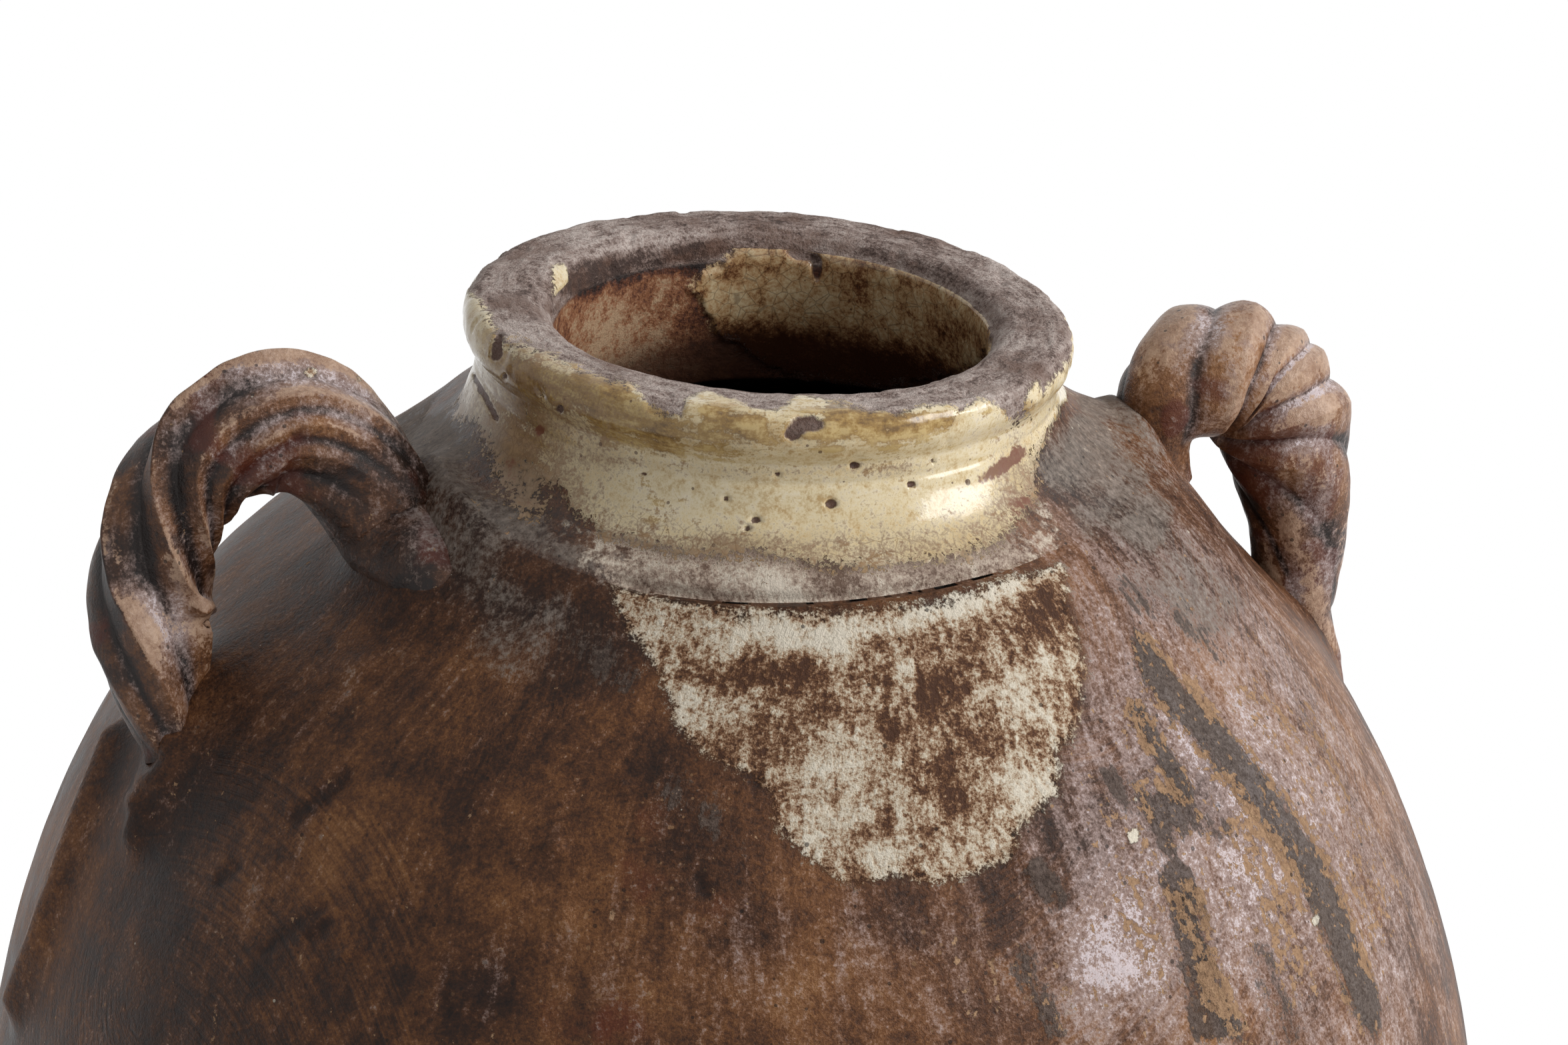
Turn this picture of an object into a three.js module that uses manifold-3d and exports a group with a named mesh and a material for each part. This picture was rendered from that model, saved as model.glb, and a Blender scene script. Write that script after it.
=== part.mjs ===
// Two-handled terracotta oil jar, in millimetres, +Z up, standing on z = 0 at the middle of its foot.
// It is hand built: wall sections, a collar, a lip coil and two twisted handles, luted together.
import * as THREE from 'three';
import { mergeVertices } from 'three/addons/utils/BufferGeometryUtils.js';
import Module from 'manifold-3d';

const wasm = await Module();
wasm.setup();

// Body: an ellipse above the widest circle, a straighter taper below it
const BELLY_RADIUS = 275;
const BELLY_HEIGHT = 340;
const DOME_RISE = 315;
const FOOT_RADIUS = 140;
const FOOT_OUTWARD_LEAN = 0.5;
const FOOT_TAPER_LENGTH = 120;
const BELLY_TAPER_LENGTH = 150;
const WALL = 15;
const BASE_THICKNESS = 22;
const BASE_KEY_HEIGHT = 6;
const FOOT_EDGE_ROUND = 4;

// Joins: half laps with a film of slip between their faces
const SLIP_GAP = 0.3;
const LAP_HEIGHT = 10;
const LOWER_SEAM_HEIGHT = 190;
const SHOULDER_SEAM_HEIGHT = 430;

// Collar and lip, with heights measured up from the collar's seat on the shoulder
const RIM_RADIUS = 105;
const RIM_CIRCLE_HEIGHT = 48;
const RIM_OVERHANG = 4.5;
const RIM_SEAM_HEIGHT = 38;
const RIM_LAP_HEIGHT = 5;
const LIP_WIDTH = 29;
const LIP_HEIGHT = 7.5;
const LIP_EDGE_ROUND = 6;
const MOUTH_EDGE_ROUND = 4;
const MOUTH_BELL = 8;
const WAIST_HEIGHT = 36;
const COLLAR_SPREAD = 23.5;
const COLLAR_SPIGOT_DEPTH = 5;

// The neck sits off the body's axis and its lip leans down towards +X
const NECK_OFFSET = 16;
const NECK_OFFSET_FADE = 90;
const RIM_LEAN = THREE.MathUtils.degToRad(5.5);

// Handles: rolls of clay laid to the left around each other, in an upright plane through the axis
const STRAND_GAP = 0.5;
const FOOT_BED_GAP = 0.6;
const FOOT_CLEARANCE = 2;
const FOOT_FLARE = 1.15;
const FOOT_ROOT_DEPTH = 14;
const TAIL_WIDTH = 50;
const TAIL_HEIGHT = 9;
const LEFT_HANDLE = {
  side: 'left',
  azimuth: THREE.MathUtils.degToRad(200),
  twistRadius: 21.5,
  strands: 5,
  lay: 130,
  upperDrop: 7,
  upperReach: 4,
  upperRise: 64,
  lowerDrop: 71,
  lowerReach: 10,
  lowerRise: 136,
  tailLength: 120,
};
const RIGHT_HANDLE = {
  side: 'right',
  azimuth: THREE.MathUtils.degToRad(18),
  twistRadius: 19.5,
  strands: 3,
  lay: 66,
  upperDrop: 9,
  upperReach: -4,
  upperRise: 50,
  lowerDrop: 92,
  lowerReach: 20,
  lowerRise: 126,
  tailLength: 110,
};

// Facets
const ROUND_SEGMENTS = 48;
const WALL_STEPS = 6;
const SHOULDER_STEPS = 8;
const FLARE_STEPS = 6;
const LIP_STEPS = 5;
const MOUTH_STEPS = 4;
const STRAND_HALF_SIDES = 5;
const STRAND_STEP_LENGTH = 5.5;
const FOOT_SEGMENTS = 20;
const FOOT_STEPS = 5;
const SLOPE_STEP = 0.5;
const HALVINGS = 50;
const SAME_POINT = 1e-4;

// Clay and glaze colours
const BROWN_CLAY = { color: 0x5d4232, roughness: 0.55, metalness: 0 };
const FOOT_CLAY = { color: 0x6a4a36, roughness: 0.7, metalness: 0 };
const CREAM_GLAZE = { color: 0xcfc5a3, roughness: 0.3, metalness: 0 };
const BARE_RIM = { color: 0x66534a, roughness: 0.85, metalness: 0 };
const HANDLE_CLAY = { color: 0x6e4c34, roughness: 0.45, metalness: 0 };

const WAIST_RADIUS = RIM_RADIUS - RIM_OVERHANG;
const MOUTH_RADIUS = RIM_RADIUS - LIP_WIDTH;
const COLLAR_FOOT_RADIUS = WAIST_RADIUS + COLLAR_SPREAD;
const SEAT_HEIGHT = BELLY_HEIGHT + DOME_RISE * Math.sqrt(1 - (COLLAR_FOOT_RADIUS / BELLY_RADIUS) ** 2);
const RIM_SEAM = SEAT_HEIGHT + RIM_SEAM_HEIGHT;

const jar = new THREE.Group();

// Profile of the body

const taper = new THREE.CubicBezierCurve(
  new THREE.Vector2(FOOT_RADIUS, 0),
  new THREE.Vector2(FOOT_RADIUS + FOOT_OUTWARD_LEAN * FOOT_TAPER_LENGTH, FOOT_TAPER_LENGTH),
  new THREE.Vector2(BELLY_RADIUS, BELLY_HEIGHT - BELLY_TAPER_LENGTH),
  new THREE.Vector2(BELLY_RADIUS, BELLY_HEIGHT),
);

function bisect(low, high, isBelow) {
  for (let turn = 0; turn < HALVINGS; turn += 1) {
    const middle = (low + high) / 2;
    if (isBelow(middle)) {
      low = middle;
    } else {
      high = middle;
    }
  }
  return (low + high) / 2;
}

function outerRadius(height) {
  if (height >= BELLY_HEIGHT) {
    return BELLY_RADIUS * Math.sqrt(1 - ((height - BELLY_HEIGHT) / DOME_RISE) ** 2);
  }
  const place = bisect(0, 1, (t) => taper.getPoint(t).y < height);
  return taper.getPoint(place).x;
}

// The wall keeps its thickness square to its face, so a sloping wall is thicker across
function innerRadius(height) {
  const rise = outerRadius(height + SLOPE_STEP) - outerRadius(height - SLOPE_STEP);
  return outerRadius(height) - WALL * Math.hypot(1, rise / (2 * SLOPE_STEP));
}

function stretch(radiusAt, fromHeight, toHeight, steps) {
  return Array.from({ length: steps + 1 }, (_, step) => {
    const height = fromHeight + ((toHeight - fromHeight) * step) / steps;
    return new THREE.Vector2(radiusAt(height), height);
  });
}

// Half lap: the lower section ends in an inner tongue and the upper one has the step for it

function lapTongue(seamHeight) {
  const stepRadius = outerRadius(seamHeight) - WALL / 2 - SLIP_GAP;
  return [
    new THREE.Vector2(stepRadius, seamHeight),
    new THREE.Vector2(stepRadius, seamHeight + LAP_HEIGHT),
  ];
}

function lapStep(seamHeight) {
  const stepRadius = outerRadius(seamHeight) - WALL / 2;
  return [
    new THREE.Vector2(stepRadius, seamHeight + LAP_HEIGHT + SLIP_GAP),
    new THREE.Vector2(stepRadius, seamHeight + SLIP_GAP),
  ];
}

// Round pieces

function neckShift(height) {
  return NECK_OFFSET * THREE.MathUtils.smoothstep(height, SEAT_HEIGHT - NECK_OFFSET_FADE, SEAT_HEIGHT);
}

function leanShare(height) {
  return THREE.MathUtils.clamp((height - SEAT_HEIGHT) / RIM_SEAM_HEIGHT, 0, 1);
}

// Moves a turned piece over to where the slumped neck stands
function settle(geometry) {
  const place = geometry.attributes.position;
  for (let index = 0; index < place.count; index += 1) {
    const x = place.getX(index);
    const height = place.getZ(index);
    place.setX(index, x + neckShift(height));
    place.setZ(index, height - x * Math.tan(RIM_LEAN) * leanShare(height));
  }
  return geometry;
}

function turned(outline) {
  return settle(new THREE.LatheGeometry(outline, ROUND_SEGMENTS).rotateX(Math.PI / 2));
}

function addPiece(name, geometry, finish) {
  const piece = new THREE.Mesh(geometry, new THREE.MeshStandardMaterial(finish));
  piece.name = name;
  jar.add(piece);
}

function closed(outline) {
  return [...outline, outline[0].clone()];
}

function makeBase() {
  const keyRadius = innerRadius(BASE_THICKNESS) - SLIP_GAP;
  const keyTop = BASE_THICKNESS + BASE_KEY_HEIGHT;
  const outline = [
    new THREE.Vector2(0, 0),
    new THREE.Vector2(FOOT_RADIUS - FOOT_EDGE_ROUND, 0),
    new THREE.Vector2(outerRadius(FOOT_EDGE_ROUND), FOOT_EDGE_ROUND),
    new THREE.Vector2(outerRadius(BASE_THICKNESS), BASE_THICKNESS),
    new THREE.Vector2(keyRadius, BASE_THICKNESS),
    new THREE.Vector2(keyRadius, keyTop),
    new THREE.Vector2(0, keyTop),
  ];
  addPiece('base_slab', turned(outline), FOOT_CLAY);
}

function makeLowerWall() {
  const foot = BASE_THICKNESS + SLIP_GAP;
  const outline = [
    ...stretch(outerRadius, foot, LOWER_SEAM_HEIGHT, WALL_STEPS),
    ...lapTongue(LOWER_SEAM_HEIGHT),
    ...stretch(innerRadius, LOWER_SEAM_HEIGHT + LAP_HEIGHT, foot, WALL_STEPS),
  ];
  addPiece('lower_wall', turned(closed(outline)), FOOT_CLAY);
}

function makeBellyWall() {
  const foot = LOWER_SEAM_HEIGHT + SLIP_GAP;
  const outline = [
    ...stretch(outerRadius, foot, SHOULDER_SEAM_HEIGHT, WALL_STEPS),
    ...lapTongue(SHOULDER_SEAM_HEIGHT),
    ...stretch(innerRadius, SHOULDER_SEAM_HEIGHT + LAP_HEIGHT, foot + LAP_HEIGHT, WALL_STEPS),
    ...lapStep(LOWER_SEAM_HEIGHT),
  ];
  addPiece('belly_wall', turned(closed(outline)), BROWN_CLAY);
}

function makeShoulderWall() {
  const foot = SHOULDER_SEAM_HEIGHT + SLIP_GAP;
  const boreFoot = bisect(foot + LAP_HEIGHT, SEAT_HEIGHT, (height) => innerRadius(height) > socketRadius);
  const outline = [
    ...stretch(outerRadius, foot, SEAT_HEIGHT, SHOULDER_STEPS),
    new THREE.Vector2(socketRadius, SEAT_HEIGHT),
    ...stretch(innerRadius, boreFoot, foot + LAP_HEIGHT, WALL_STEPS),
    ...lapStep(SHOULDER_SEAM_HEIGHT),
  ];
  addPiece('shoulder_wall', turned(closed(outline)), BROWN_CLAY);
}

// Neck

const collarFlare = new THREE.CubicBezierCurve(
  new THREE.Vector2(COLLAR_FOOT_RADIUS, SEAT_HEIGHT + SLIP_GAP),
  new THREE.Vector2((COLLAR_FOOT_RADIUS + WAIST_RADIUS) / 2, SEAT_HEIGHT + WAIST_HEIGHT / 4),
  new THREE.Vector2(WAIST_RADIUS, SEAT_HEIGHT + WAIST_HEIGHT / 2),
  new THREE.Vector2(WAIST_RADIUS, SEAT_HEIGHT + WAIST_HEIGHT),
);

// The bore widens downwards from the mouth like a shallow bell
function boreRadiusAt(height) {
  const depth = (SEAT_HEIGHT + RIM_CIRCLE_HEIGHT - height) / RIM_CIRCLE_HEIGHT;
  return MOUTH_RADIUS + MOUTH_BELL * depth ** 2;
}

// The collar's spigot fills a socket in the shoulder, and its tongue a step in the lip, both at mid wall
const socketRadius = (boreRadiusAt(SEAT_HEIGHT) + COLLAR_FOOT_RADIUS) / 2;
const rimLapRadius = (boreRadiusAt(RIM_SEAM) + WAIST_RADIUS) / 2;

function makeCollar() {
  const spigotRadius = socketRadius - SLIP_GAP;
  const spigotFoot = SEAT_HEIGHT - COLLAR_SPIGOT_DEPTH;
  const tongueRadius = rimLapRadius - SLIP_GAP;
  const tongueTop = RIM_SEAM + RIM_LAP_HEIGHT;
  const outline = [
    ...collarFlare.getPoints(FLARE_STEPS),
    new THREE.Vector2(WAIST_RADIUS, RIM_SEAM),
    new THREE.Vector2(tongueRadius, RIM_SEAM),
    new THREE.Vector2(tongueRadius, tongueTop),
    ...stretch(boreRadiusAt, tongueTop, spigotFoot, FLARE_STEPS),
    new THREE.Vector2(spigotRadius, spigotFoot),
    new THREE.Vector2(spigotRadius, SEAT_HEIGHT + SLIP_GAP),
  ];
  addPiece('neck_collar', turned(closed(outline)), CREAM_GLAZE);
}

function lipOutline() {
  const circle = SEAT_HEIGHT + RIM_CIRCLE_HEIGHT;
  const top = circle + LIP_HEIGHT;
  const bulge = new THREE.QuadraticBezierCurve(
    new THREE.Vector2(WAIST_RADIUS, RIM_SEAM + SLIP_GAP),
    new THREE.Vector2(RIM_RADIUS, (RIM_SEAM + circle) / 2),
    new THREE.Vector2(RIM_RADIUS, circle),
  );
  const shoulder = new THREE.QuadraticBezierCurve(
    new THREE.Vector2(RIM_RADIUS, circle),
    new THREE.Vector2(RIM_RADIUS, top),
    new THREE.Vector2(RIM_RADIUS - LIP_EDGE_ROUND, top),
  );
  const mouthEdge = new THREE.QuadraticBezierCurve(
    new THREE.Vector2(MOUTH_RADIUS + MOUTH_EDGE_ROUND, top),
    new THREE.Vector2(MOUTH_RADIUS, top),
    new THREE.Vector2(MOUTH_RADIUS, top - MOUTH_EDGE_ROUND),
  );
  return [
    ...bulge.getPoints(LIP_STEPS),
    ...shoulder.getPoints(LIP_STEPS).slice(1),
    ...mouthEdge.getPoints(MOUTH_STEPS),
  ];
}

function makeRim() {
  const stepTop = RIM_SEAM + RIM_LAP_HEIGHT + SLIP_GAP;
  const outline = [
    ...lipOutline(),
    new THREE.Vector2(boreRadiusAt(stepTop), stepTop),
    new THREE.Vector2(rimLapRadius, stepTop),
    new THREE.Vector2(rimLapRadius, RIM_SEAM + SLIP_GAP),
  ];
  addPiece('rim_ring', turned(closed(outline)), BARE_RIM);
}

// Whole outside of the jar, filled in, for trimming what is luted on to it

const outside = [
  ...stretch(outerRadius, 0, LOWER_SEAM_HEIGHT, WALL_STEPS),
  ...stretch(outerRadius, LOWER_SEAM_HEIGHT + SLIP_GAP, SHOULDER_SEAM_HEIGHT, WALL_STEPS),
  ...stretch(outerRadius, SHOULDER_SEAM_HEIGHT + SLIP_GAP, SEAT_HEIGHT, SHOULDER_STEPS),
  ...collarFlare.getPoints(FLARE_STEPS),
  ...lipOutline(),
];

function outsideRadius(height) {
  const above = outside.findIndex((point) => point.y >= height);
  if (above <= 0) {
    return above === 0 ? outside[0].x : 0;
  }
  const low = outside[above - 1];
  const high = outside[above];
  return THREE.MathUtils.lerp(low.x, high.x, (height - low.y) / (high.y - low.y || 1));
}

function clearOfWall(point) {
  return Math.hypot(point.x - neckShift(point.z), point.y) - outsideRadius(point.z);
}

function toSolid(geometry) {
  const bare = geometry.clone();
  bare.deleteAttribute('normal');
  bare.deleteAttribute('uv');
  const merged = mergeVertices(bare, SAME_POINT);
  const corners = merged.index.array;
  const triangles = [];
  for (let first = 0; first < corners.length; first += 3) {
    const [a, b, c] = corners.slice(first, first + 3);
    if (a !== b && b !== c && c !== a) {
      triangles.push(a, b, c);
    }
  }
  return new wasm.Manifold(new wasm.Mesh({
    numProp: 3,
    vertProperties: new Float32Array(merged.attributes.position.array),
    triVerts: new Uint32Array(triangles),
  }));
}

function toGeometry(solid) {
  const mesh = solid.getMesh();
  const geometry = new THREE.BufferGeometry();
  geometry.setAttribute('position', new THREE.BufferAttribute(mesh.vertProperties, 3));
  geometry.setIndex(new THREE.BufferAttribute(mesh.triVerts, 1));
  geometry.computeVertexNormals();
  return geometry;
}

const wallAllowance = toSolid(turned([
  new THREE.Vector2(0, 0),
  ...outside.map((point) => new THREE.Vector2(point.x + FOOT_BED_GAP, point.y + SLIP_GAP)),
  new THREE.Vector2(0, SEAT_HEIGHT + RIM_CIRCLE_HEIGHT + LIP_HEIGHT),
]));

// Handles

// Distance out from the axis to the wall, along a handle's plane
function wallReach(azimuth, height) {
  const shift = neckShift(height);
  const along = shift * Math.cos(azimuth);
  const across = shift * Math.sin(azimuth);
  return along + Math.sqrt(outerRadius(height) ** 2 - across ** 2);
}

// A line drawn in an upright plane through the axis, running straight on beyond its ends
function uprightPath(line, azimuth) {
  const length = line.getLength();
  const outward = new THREE.Vector3(Math.cos(azimuth), Math.sin(azimuth), 0);
  const sideways = new THREE.Vector3(Math.sin(azimuth), -Math.cos(azimuth), 0);
  const upward = new THREE.Vector3(0, 0, 1);
  const frameAt = (distance) => {
    const share = THREE.MathUtils.clamp(distance / length, 0, 1);
    const along = line.getTangentAt(share);
    const flat = line.getPointAt(share).addScaledVector(along, distance - share * length);
    const middle = outward.clone().multiplyScalar(flat.x).addScaledVector(upward, flat.y);
    const across = outward.clone().multiplyScalar(-along.y).addScaledVector(upward, along.x);
    return { middle, across, sideways };
  };
  return { length, frameAt };
}

function wallPoint(handle, height) {
  return new THREE.Vector2(wallReach(handle.azimuth, height), height);
}

function handlePath(handle) {
  const start = wallPoint(handle, SEAT_HEIGHT - handle.upperDrop);
  const end = wallPoint(handle, SEAT_HEIGHT - handle.lowerDrop);
  const arch = new THREE.CubicBezierCurve(
    start,
    start.clone().add(new THREE.Vector2(handle.upperReach, handle.upperRise)),
    end.clone().add(new THREE.Vector2(handle.lowerReach, handle.lowerRise)),
    end,
  );
  return uprightPath(arch, handle.azimuth);
}

// Bends a straight piece, drawn up the Z axis, along a handle's path and twists it by its lay
function bendAlong(geometry, path, startDistance, lay) {
  const place = geometry.attributes.position;
  for (let index = 0; index < place.count; index += 1) {
    const distance = startDistance + place.getZ(index);
    const turn = lay ? (-2 * Math.PI * distance) / lay : 0;
    const x = place.getX(index) * Math.cos(turn) - place.getY(index) * Math.sin(turn);
    const y = place.getX(index) * Math.sin(turn) + place.getY(index) * Math.cos(turn);
    const frame = path.frameAt(distance);
    const point = frame.middle.addScaledVector(frame.across, x).addScaledVector(frame.sideways, y);
    place.setXYZ(index, point.x, point.y, point.z);
  }
  return geometry;
}

// True where the twist's whole section stands clear of the wall
function sectionIsClear(handle, path, distance) {
  const { middle, across, sideways } = path.frameAt(distance);
  return Array.from({ length: FOOT_SEGMENTS }, (_, side) => {
    const angle = (2 * Math.PI * side) / FOOT_SEGMENTS;
    return middle.clone()
      .addScaledVector(across, handle.twistRadius * Math.cos(angle))
      .addScaledVector(sideways, handle.twistRadius * Math.sin(angle));
  }).every((point) => clearOfWall(point) > FOOT_CLEARANCE);
}

function makeStrands(handle, path, from, to) {
  const spread = Math.sin(Math.PI / handle.strands);
  const laidRadius = (handle.twistRadius + STRAND_GAP / 2) / (1 + spread);
  const strandRadius = laidRadius * spread - STRAND_GAP / 2;
  for (let strand = 0; strand < handle.strands; strand += 1) {
    const angle = (2 * Math.PI * strand) / handle.strands;
    const section = new THREE.Shape();
    const middle = new THREE.Vector2(laidRadius, 0).rotateAround(new THREE.Vector2(), angle);
    section.absarc(middle.x, middle.y, strandRadius, 0, 2 * Math.PI);
    const roll = new THREE.ExtrudeGeometry(section, {
      depth: to - from,
      steps: Math.ceil((to - from) / STRAND_STEP_LENGTH),
      curveSegments: STRAND_HALF_SIDES,
      bevelEnabled: false,
    });
    const name = `${handle.side}_handle_strand_${strand + 1}`;
    addPiece(name, bendAlong(roll, path, from, handle.lay), HANDLE_CLAY);
  }
}

// Flared stub from the end of the twist down into the wall
function footStub(handle, path, rootDistance, twistDistance) {
  const depth = Math.abs(twistDistance - rootDistance);
  const outline = Array.from({ length: FOOT_STEPS + 1 }, (_, step) => {
    const share = step / FOOT_STEPS;
    const flare = FOOT_FLARE + (1 - FOOT_FLARE) * Math.sqrt(share);
    return new THREE.Vector2(handle.twistRadius * flare, depth * share);
  });
  outline.unshift(new THREE.Vector2(0, 0));
  outline.push(new THREE.Vector2(0, depth));
  const stub = new THREE.LatheGeometry(outline, FOOT_SEGMENTS).rotateX(Math.PI / 2);
  if (rootDistance > twistDistance) {
    stub.rotateX(Math.PI);
  }
  return bendAlong(stub, path, rootDistance, 0);
}

// Tongue of clay smeared down the shoulder from the middle of the lower foot
function tail(handle) {
  const top = SEAT_HEIGHT - handle.lowerDrop;
  const downTheWall = Array.from({ length: FOOT_STEPS + 1 }, (_, step) => (
    wallPoint(handle, top - (handle.tailLength * step) / FOOT_STEPS)
  ));
  const path = uprightPath(new THREE.SplineCurve(downTheWall), handle.azimuth);
  const smear = new THREE.SphereGeometry(1, FOOT_SEGMENTS, FOOT_SEGMENTS / 2).rotateX(Math.PI / 2);
  smear.scale(TAIL_HEIGHT, TAIL_WIDTH / 2, handle.tailLength / 2);
  return bendAlong(smear, path, handle.tailLength / 2, 0);
}

function makeHandle(handle) {
  const path = handlePath(handle);
  const crown = path.length / 2;
  const from = bisect(0, crown, (distance) => !sectionIsClear(handle, path, distance));
  const to = bisect(crown, path.length, (distance) => sectionIsClear(handle, path, distance));
  makeStrands(handle, path, from, to);
  const upperFoot = toSolid(footStub(handle, path, -FOOT_ROOT_DEPTH, from - STRAND_GAP));
  addPiece(`${handle.side}_handle_upper_foot`, toGeometry(upperFoot.subtract(wallAllowance)), HANDLE_CLAY);
  const lowerStub = toSolid(footStub(handle, path, path.length + FOOT_ROOT_DEPTH, to + STRAND_GAP));
  const lowerFoot = lowerStub.add(toSolid(tail(handle)));
  addPiece(`${handle.side}_handle_lower_foot`, toGeometry(lowerFoot.subtract(wallAllowance)), HANDLE_CLAY);
}

makeBase();
makeLowerWall();
makeBellyWall();
makeShoulderWall();
makeCollar();
makeRim();
makeHandle(LEFT_HANDLE);
makeHandle(RIGHT_HANDLE);

export default jar;
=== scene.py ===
# Looks of a two-handled terracotta oil jar. Sizes below are in millimetres, in the jar's own frame.
import math
import bpy
import numpy as np
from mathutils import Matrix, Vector


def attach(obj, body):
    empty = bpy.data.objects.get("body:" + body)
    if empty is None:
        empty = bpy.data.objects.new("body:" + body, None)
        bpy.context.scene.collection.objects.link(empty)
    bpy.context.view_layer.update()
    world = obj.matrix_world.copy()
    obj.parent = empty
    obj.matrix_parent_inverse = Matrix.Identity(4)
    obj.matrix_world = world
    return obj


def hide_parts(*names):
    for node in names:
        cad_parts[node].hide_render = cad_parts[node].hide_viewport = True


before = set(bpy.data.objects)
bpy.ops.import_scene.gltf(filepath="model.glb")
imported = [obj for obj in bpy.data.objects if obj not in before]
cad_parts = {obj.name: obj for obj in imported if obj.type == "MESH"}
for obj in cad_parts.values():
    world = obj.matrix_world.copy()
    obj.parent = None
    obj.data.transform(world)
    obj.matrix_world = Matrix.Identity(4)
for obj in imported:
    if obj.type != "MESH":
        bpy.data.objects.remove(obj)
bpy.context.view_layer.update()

MM = 0.001
UP = np.array([0.0, 0.0, 1.0])

# Sizes shared with the jar's solids
BELLY_RADIUS, BELLY_HEIGHT, DOME_RISE = 275.0, 340.0, 315.0
TAPER = np.array([(140.0, 0.0), (200.0, 120.0), (275.0, 190.0), (275.0, 340.0)])
WALL = 15.0
BASE_TOP, LOWER_SEAM, SHOULDER_SEAM = 22.0, 190.0, 430.0
RIM_RADIUS, WAIST_RADIUS, MOUTH_RADIUS, COLLAR_FOOT_RADIUS = 105.0, 100.5, 76.0, 124.0
SEAT = BELLY_HEIGHT + DOME_RISE * math.sqrt(1 - (COLLAR_FOOT_RADIUS / BELLY_RADIUS) ** 2)
RIM_SEAM, RIM_CIRCLE, LIP_TOP = SEAT + 38.0, SEAT + 48.0, SEAT + 55.5

# The neck's place and lean, fitted to the photograph again after the solids
NECK_OFFSET, NECK_FADE = 14.7, 55.0
NECK_NARROWING = 0.013
RIM_LEAN = math.tan(math.radians(3.5))

# Columns of the turned grid
COLUMNS = 660

# Camera of the photograph
PICTURE = np.array([2352.0, 1568.0])
EYE = np.array([19.27, -1190.84, 1116.81])
PITCH = math.radians(23.656)
LENS, SENSOR = 85.0, 36.0
FOCAL = PICTURE[0] * LENS / SENSOR
LOOK = np.array([0.0, math.cos(PITCH), -math.sin(PITCH)])
LOOK_UP = np.array([0.0, math.sin(PITCH), math.cos(PITCH)])


def picture_place(points):
    """Pixel of the photograph that each point falls on."""
    ray = points - EYE
    depth = ray @ LOOK
    across = PICTURE[0] / 2 + FOCAL * ray[..., 0] / depth
    down = PICTURE[1] / 2 - FOCAL * (ray @ LOOK_UP) / depth
    return np.stack([across, down], -1)


def smooth(low, high, value):
    """Eases from 0 at low to 1 at high."""
    share = np.clip((value - low) / (high - low), 0, 1)
    return share * share * (3 - 2 * share)


def value_noise(points, size, seed):
    """Smooth noise from -1 to 1 with lumps of the given size."""
    grid = points / size + 100.0
    cell = np.floor(grid).astype(np.int64)
    part = grid - cell
    ease = part * part * (3 - 2 * part)
    total = np.zeros(points.shape[:-1])
    for corner in np.ndindex(2, 2, 2):
        key = (cell + np.array(corner)).astype(np.uint64)
        mixed = key[..., 0] * np.uint64(73856093)
        mixed ^= key[..., 1] * np.uint64(19349663)
        mixed ^= key[..., 2] * np.uint64(83492791)
        mixed ^= np.uint64(seed * 2654435761)
        mixed = (mixed ^ (mixed >> np.uint64(13))) * np.uint64(1274126177)
        mixed = (mixed ^ (mixed >> np.uint64(17))) & np.uint64(0xFFFF)
        share = np.where(np.array(corner) == 1, ease, 1 - ease).prod(-1)
        total += share * (mixed.astype(float) / 32767.5 - 1)
    return total


def layered_noise(points, size, seed, layers=3):
    """Noise with finer layers, each half the size and strength of the one before."""
    total = sum(value_noise(points, size / 2 ** k, seed + k) / 2 ** k for k in range(layers))
    return total / sum(1 / 2 ** k for k in range(layers))


# Marks on the picture plane


def line_distance(place, line):
    """Distance to a broken line, and how far along it the nearest point is, from 0 to 1."""
    line = np.array(line, float)
    steps = np.linalg.norm(np.diff(line, axis=0), axis=1)
    starts = np.concatenate([[0], np.cumsum(steps)])
    nearest = np.full(place.shape[:-1], 1e9)
    along = np.zeros(place.shape[:-1])
    for start, end, step, before in zip(line[:-1], line[1:], steps, starts):
        share = np.clip(((place - start) @ (end - start)) / step ** 2, 0, 1)
        gap = np.linalg.norm(place - start - share[..., None] * (end - start), axis=-1)
        closer = gap < nearest
        nearest = np.where(closer, gap, nearest)
        along = np.where(closer, (before + share * step) / starts[-1], along)
    return nearest, along


def stroke(place, line, width, fade=0.12):
    """Soft stroke along a broken line, thinning at its ends."""
    gap, along = line_distance(place, line)
    ends = smooth(0, fade, along) * smooth(0, fade, 1 - along)
    return np.exp(-(gap / (width * (0.35 + 0.65 * ends))) ** 2) * (0.3 + 0.7 * ends)


def spot(place, x, y, wide, high, tilt=0.0):
    """Soft oval spot, 1 in the middle and a third at its edge."""
    turn = math.radians(tilt)
    away = place - np.array([x, y])
    along = away[..., 0] * math.cos(turn) + away[..., 1] * math.sin(turn)
    across = away[..., 1] * math.cos(turn) - away[..., 0] * math.sin(turn)
    return np.exp(-((along / wide) ** 2 + (across / high) ** 2))


def outline_depth(place, outline):
    """Distance inside a closed outline, below zero outside it."""
    corners = np.array(outline, float)
    gap, _ = line_distance(place, np.vstack([corners, corners[:1]]))
    inside = np.zeros(place.shape[:-1], bool)
    for a, b in zip(corners, np.roll(corners, -1, 0)):
        spans = (a[1] > place[..., 1]) != (b[1] > place[..., 1])
        cross = a[0] + (place[..., 1] - a[1]) * (b[0] - a[0]) / (b[1] - a[1] + 1e-9)
        inside ^= spans & (place[..., 0] < cross)
    return np.where(inside, gap, -gap)


# Body and neck shape


def bezier(corners, share):
    a, b, c, d = np.array(corners, float)
    t = np.asarray(share)[:, None]
    return (1 - t) ** 3 * a + 3 * (1 - t) ** 2 * t * b + 3 * (1 - t) * t * t * c + t ** 3 * d


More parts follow.
